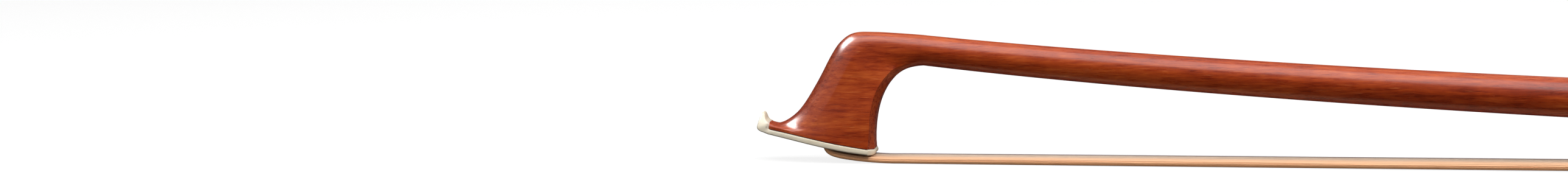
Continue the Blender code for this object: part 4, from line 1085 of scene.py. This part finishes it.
# Grip: leather under the thumb, then thread wound close with a silver spiral over it
grip = {
    "leatherFrom": 0.0526,
    "leatherTo": 0.0842,
    "leatherThick": 0.0009,
    "lappingFrom": 0.0845,
    "lappingTo": 0.1585,
    "threadRadius": 0.000155,
    "threadSides": 6,
    "threadPoints": 24,
    "threadSpacing": 1.04,
    "underlay": 0.00017,
    "tinselLoops": 12,
    "tinselPitch": 0.0058,
    "tinselRadius": 0.00025,
    "tinselPoints": 48,
    "tinselLift": 0.00055,
    "glue": 0.0001,
}


def gripRing(e, count, lift, softening=0.0):
    # A ring round the stick; the lift is one value, or one for each point
    lifts = lift if isinstance(lift, list) else [lift] * count
    return [stickPoint(bow["stickReach"] - e, 2 * math.pi * i / count, lifts[i], softening)
            for i in range(count)]


def makeThumbLeather():
    start, end, thick = grip["leatherFrom"], grip["leatherTo"], grip["leatherThick"]
    rows = []
    for share, lift in ((0, 0.30), (0.006, 0.52), (0.02, 0.78), (0.045, 0.95), (0.08, 1.0)):
        rows.append((mix(start, end, share), lift))
    middle = [(mix(start, end, 0.08 + 0.84 * k / 40), 1.0) for k in range(1, 40)]
    rows += middle + [(start + end - e, lift) for e, lift in reversed(rows)]
    count = 96
    # a shallow groove underneath, where the leather's two edges meet
    seam = [1 - 0.35 * math.exp(-((2 * math.pi * i / count - math.pi) / 0.10) ** 2)
            for i in range(count)]
    outer = [gripRing(e, count, [grip["glue"] + thick * lift * s for s in seam], 0.45)
             for e, lift in rows]
    inner = [gripRing(e, count, 0.00006) for e, lift in reversed(rows)]
    piece = skin("thumbLeather", outer + inner, 60, closed=True)
    return dress(piece, "leather", "stick", "leather_grip")


def winding(first, loops, pitch, points, lift):
    line = []
    for k in range(round(loops * points) + 1):
        e = first + pitch * k / points
        angle = math.pi / 8 + 2 * math.pi * k / points
        line.append(stickPoint(bow["stickReach"] - e, angle, lift))
    return line


def makeLapping():
    start, end = grip["lappingFrom"], grip["lappingTo"]
    rows = [mix(start, end, k / 30) for k in range(31)]
    lift = grip["glue"] + grip["underlay"]
    outer = [gripRing(e, 64, lift) for e in rows]
    inner = [gripRing(e, 64, 0.00005) for e in reversed(rows)]
    under = skin("silkUnderlay", outer + inner, 35, closed=True)
    radius = grip["threadRadius"]
    pitch = 2 * radius * grip["threadSpacing"]
    loops = (end - start - 2 * radius) / pitch
    line = winding(start + radius, loops, pitch, grip["threadPoints"], lift + radius * 0.2)
    thread = sweptThreads("silkThread", [(line, {})], radius, grip["threadSides"], "silk")
    for piece in (under, thread):
        dress(piece, "silk", "stick", "silk_lapping")


def makeTinsel():
    start, end = grip["lappingFrom"], grip["lappingTo"]
    radius = grip["tinselRadius"]
    wound = grip["tinselLoops"] * grip["tinselPitch"]
    first = (start + end - wound) / 2
    line = winding(first, grip["tinselLoops"], grip["tinselPitch"], grip["tinselPoints"],
                   grip["tinselLift"] + radius)
    thread = sweptThreads("tinselWire", [(line, {})], radius, 10, "silver")
    return dress(thread, "silver", "stick", "tinsel_spiral")


makeThumbLeather()
makeLapping()
makeTinsel()
print("grip made")


# Rigid pieces of the frog and button keep their solids, with their edges eased:
# piece, body and the width of the rounded edge
slots = {part["node"]: part["material_slot"] for part in frame["record"]["subparts"]}
eased = {
    "frog_block": ("frogEbony", "frog", 0.00025),
    "ferrule": ("frogFerrule", "frog", 0.00008),
    "pearl_slide": ("frogPearlSlide", "frog", 0.00010),
    "heel_plate_upper": ("heelPlateUpper", "frog", 0.00008),
    "heel_plate_lower": ("heelPlateLower", "frog", 0.00008),
    "underslide": ("frogUnderslide", "frog", 0.00005),
    "button_core": ("buttonEbony", "screw", 0.00015),
    "button_ring_front": ("buttonCollarFront", "screw", 0.00020),
    "button_ring_rear": ("buttonCollarRear", "screw", 0.00020),
    "button_eye": ("buttonPearl", "screw", 0.00006),
    "pearl_eye_left": ("frogPearlLeft", "frog", 0.00006),
    "pearl_eye_right": ("frogPearlRight", "frog", 0.00006),
    "eye_ring_left": ("frogRingLeft", "frog", 0.00008),
    "eye_ring_right": ("frogRingRight", "frog", 0.00008),
    "heel_pin_upper": ("heelPinUpper", "frog", 0.00008),
    "heel_pin_middle": ("heelPinMiddle", "frog", 0.00008),
    "heel_pin_lower": ("heelPinLower", "frog", 0.00008),
    "heel_pin_foot": ("heelPinFoot", "frog", 0.00008),
}


def easeEdges(node, name, body, width):
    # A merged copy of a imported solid, its flats joined and its edges rounded a little
    mesh = frame["nodes"][node].data.copy()
    mesh.name = name
    build = bmesh.new()
    build.from_mesh(mesh)
    bmesh.ops.remove_doubles(build, verts=build.verts, dist=1e-6)
    bmesh.ops.dissolve_limit(build, angle_limit=math.radians(1.0), verts=build.verts,
                             edges=build.edges, delimit=set())
    build.to_mesh(mesh)
    build.free()
    piece = bpy.data.objects.new(name, mesh)
    scene.collection.objects.link(piece)
    modifier = piece.modifiers.new("easedEdges", "BEVEL")
    modifier.width = width
    modifier.segments = 3
    modifier.limit_method = "ANGLE"
    modifier.angle_limit = math.radians(33)
    modifier.use_clamp_overlap = True
    settled(piece)
    smoothOver(piece, 40)
    return dress(piece, slots[node], body, node)


for node, words in eased.items():
    easeEdges(node, *words)

# Hidden pieces are shown as packed, each in its own finish
for node in ("tip_plug", "tip_hair_knot", "ferrule_wedge", "frog_plug", "frog_hair_knot",
             "slide_backing", "eyelet", "screw"):
    shown = frame["nodes"][node]
    shown.data.materials.clear()
    shown.data.materials.append(finishes[slots[node]])
print("frog and button made")


# Stage: pale floor, soft boxes and a white surround that only the eye and reflections see
studio = {
    "surround": 0.07,
    "floorTone": 0.16,
    "floorBounce": 0.10,
    "floorGlow": 0.85,
    "floorSize": 40.0,
    "floorHeight": -0.0002,
    # name, place, aim, size, brightness, spread in degrees, lights matt surfaces, shows in gloss
    "boxes": (
        ("overheadBox", (-0.22, -0.31, 0.84), (-0.22, 0, 0.02), (1.4, 0.85), 3.9, 180, True, True),
        ("frontFill", (-0.20, -1.00, 0.50), (-0.20, 0, 0.02), (1.4, 0.5), 1.1, 180, True, False),
        ("leftKey", (-1.10, -0.06, 0.86), (-0.35, 0, 0.02), (0.60, 0.30), 90.0, 180, False, True),
        ("rightBox", (0.62, -0.35, 0.75), (0.32, 0, 0.02), (0.5, 0.5), 0.9, 90, True, True),
        ("backBox", (0.0, 0.95, 0.55), (0.0, 0, 0.02), (1.4, 0.5), 1.2, 180, True, True),
    ),
    # dark cards that only reflections see: low corner, high corner, how much they darken.
    # The gap on the left front leaves a pale sheen along the head's front.
    "cards": (
        ("frontCard", (-0.66, -1.0, 0.0), (1.6, -1.0, 0.95), 1.0),
        ("leftCard", (-1.3, -0.58, 0.0), (-1.3, 0.6, 0.7), 1.0),
        ("backCard", (-1.3, 0.6, 0.0), (1.6, 0.6, 0.7), 0.96),
        ("lowCardFront", (-0.425, -1.0, 0.0004), (1.2, 0.0, 0.0004), 1.0),
        ("lowCardLeft", (-1.3, -0.045, 0.0004), (-0.425, 0.0, 0.0004), 1.0),
        ("lowCardBack", (-1.3, 0.0, 0.0004), (1.2, 0.6, 0.0004), 0.97),
    ),
    # where along the bow the cards thin out, and by how much, so that the silver stays bright
    "cardsThin": (-0.16, 0.12, 0.6),
}


def seenDirectly(tree):
    # 1 for rays from the eye, off gloss and through glass
    path = tree.nodeTree.nodes.new("ShaderNodeLightPath")
    eye, gloss, glass = (Wire(tree, path.outputs["Is " + kind + " Ray"])
                         for kind in ("Camera", "Glossy", "Transmission"))
    return eye.worked("MAXIMUM", eye, eye.worked("MAXIMUM", gloss, glass))


def makeSurround():
    world = bpy.data.worlds.new("surround")
    scene.world = world
    world.use_nodes = True
    tree = Tree(world.node_tree)
    background = world.node_tree.nodes["Background"]
    background.inputs["Color"].default_value = (1, 1, 1, 1)
    seen = seenDirectly(tree)
    tree.feed(background.inputs["Strength"], seen * (1 - studio["surround"]) + studio["surround"])


def makeFloor():
    size = studio["floorSize"] / 2
    level = studio["floorHeight"]
    floor = meshPiece("floor", [(x, y, level) for x, y in (
        (-size, -size), (size, -size), (size, size), (-size, size))], [(0, 1, 2, 3)])
    material = bpy.data.materials.new("paleFloor")
    material.use_nodes = True
    nodes = material.node_tree.nodes
    nodes.clear()
    tree = Tree(material.node_tree)
    path = nodes.new("ShaderNodeLightPath")
    bounce = studio["floorBounce"]
    shade = Wire(tree, path.outputs["Is Camera Ray"]) * (studio["floorTone"] - bounce) + bounce
    matt = tree.add("ShaderNodeBsdfDiffuse", None, {"Color": shade})
    glow = tree.add("ShaderNodeEmission", None,
                    {"Color": (1, 1, 1, 1), "Strength": seenDirectly(tree) * studio["floorGlow"]})
    lit = tree.add("ShaderNodeAddShader", None, {0: matt, 1: glow})
    clear = tree.add("ShaderNodeBsdfTransparent")
    under = tree.add("ShaderNodeNewGeometry", output=6)
    whole = tree.add("ShaderNodeMixShader", None, {0: under, 1: lit, 2: clear})
    end = nodes.new("ShaderNodeOutputMaterial")
    material.node_tree.links.new(whole.socket, end.inputs["Surface"])
    floor.data.materials.append(material)


def makeBoxes():
    for name, place, aim, size, radiance, spread, matt, gloss in studio["boxes"]:
        data = bpy.data.lights.new(name, "AREA")
        data.shape = "RECTANGLE"
        data.size, data.size_y = size
        data.spread = math.radians(spread)
        data.energy = radiance * math.pi * size[0] * size[1]
        lamp = bpy.data.objects.new(name, data)
        lamp.location = place
        lamp.rotation_euler = (Vector(aim) - Vector(place)).to_track_quat("-Z", "Y").to_euler()
        lamp.visible_camera = False
        lamp.visible_diffuse = matt
        lamp.visible_glossy = gloss
        scene.collection.objects.link(lamp)


def makeCards():
    thinFrom, thinTo, thinned = studio["cardsThin"]
    for name, low, high, share in studio["cards"]:
        if low[2] == high[2]:
            corners = [low, (high[0], low[1], low[2]), high, (low[0], high[1], low[2])]
        else:
            corners = [low, (high[0], high[1], low[2]), high, (low[0], low[1], high[2])]
        card = meshPiece(name, corners, [(0, 1, 2, 3)])
        m = Finish(name)
        m.fix("Roughness", 1.0)
        m.fix("Base Color", (0.02, 0.02, 0.02, 1.0))
        m.fix("Specular IOR Level", 0.0)
        m.drive("Alpha", share - m.limited(m.axes()[0], thinFrom, thinTo) * share * thinned)
        card.data.materials.append(m.material)
        card.visible_camera = card.visible_diffuse = False
        card.visible_transmission = card.visible_shadow = False


makeSurround()
makeFloor()
makeBoxes()
makeCards()
scene.view_settings.view_transform = "Standard"
print("stage made")
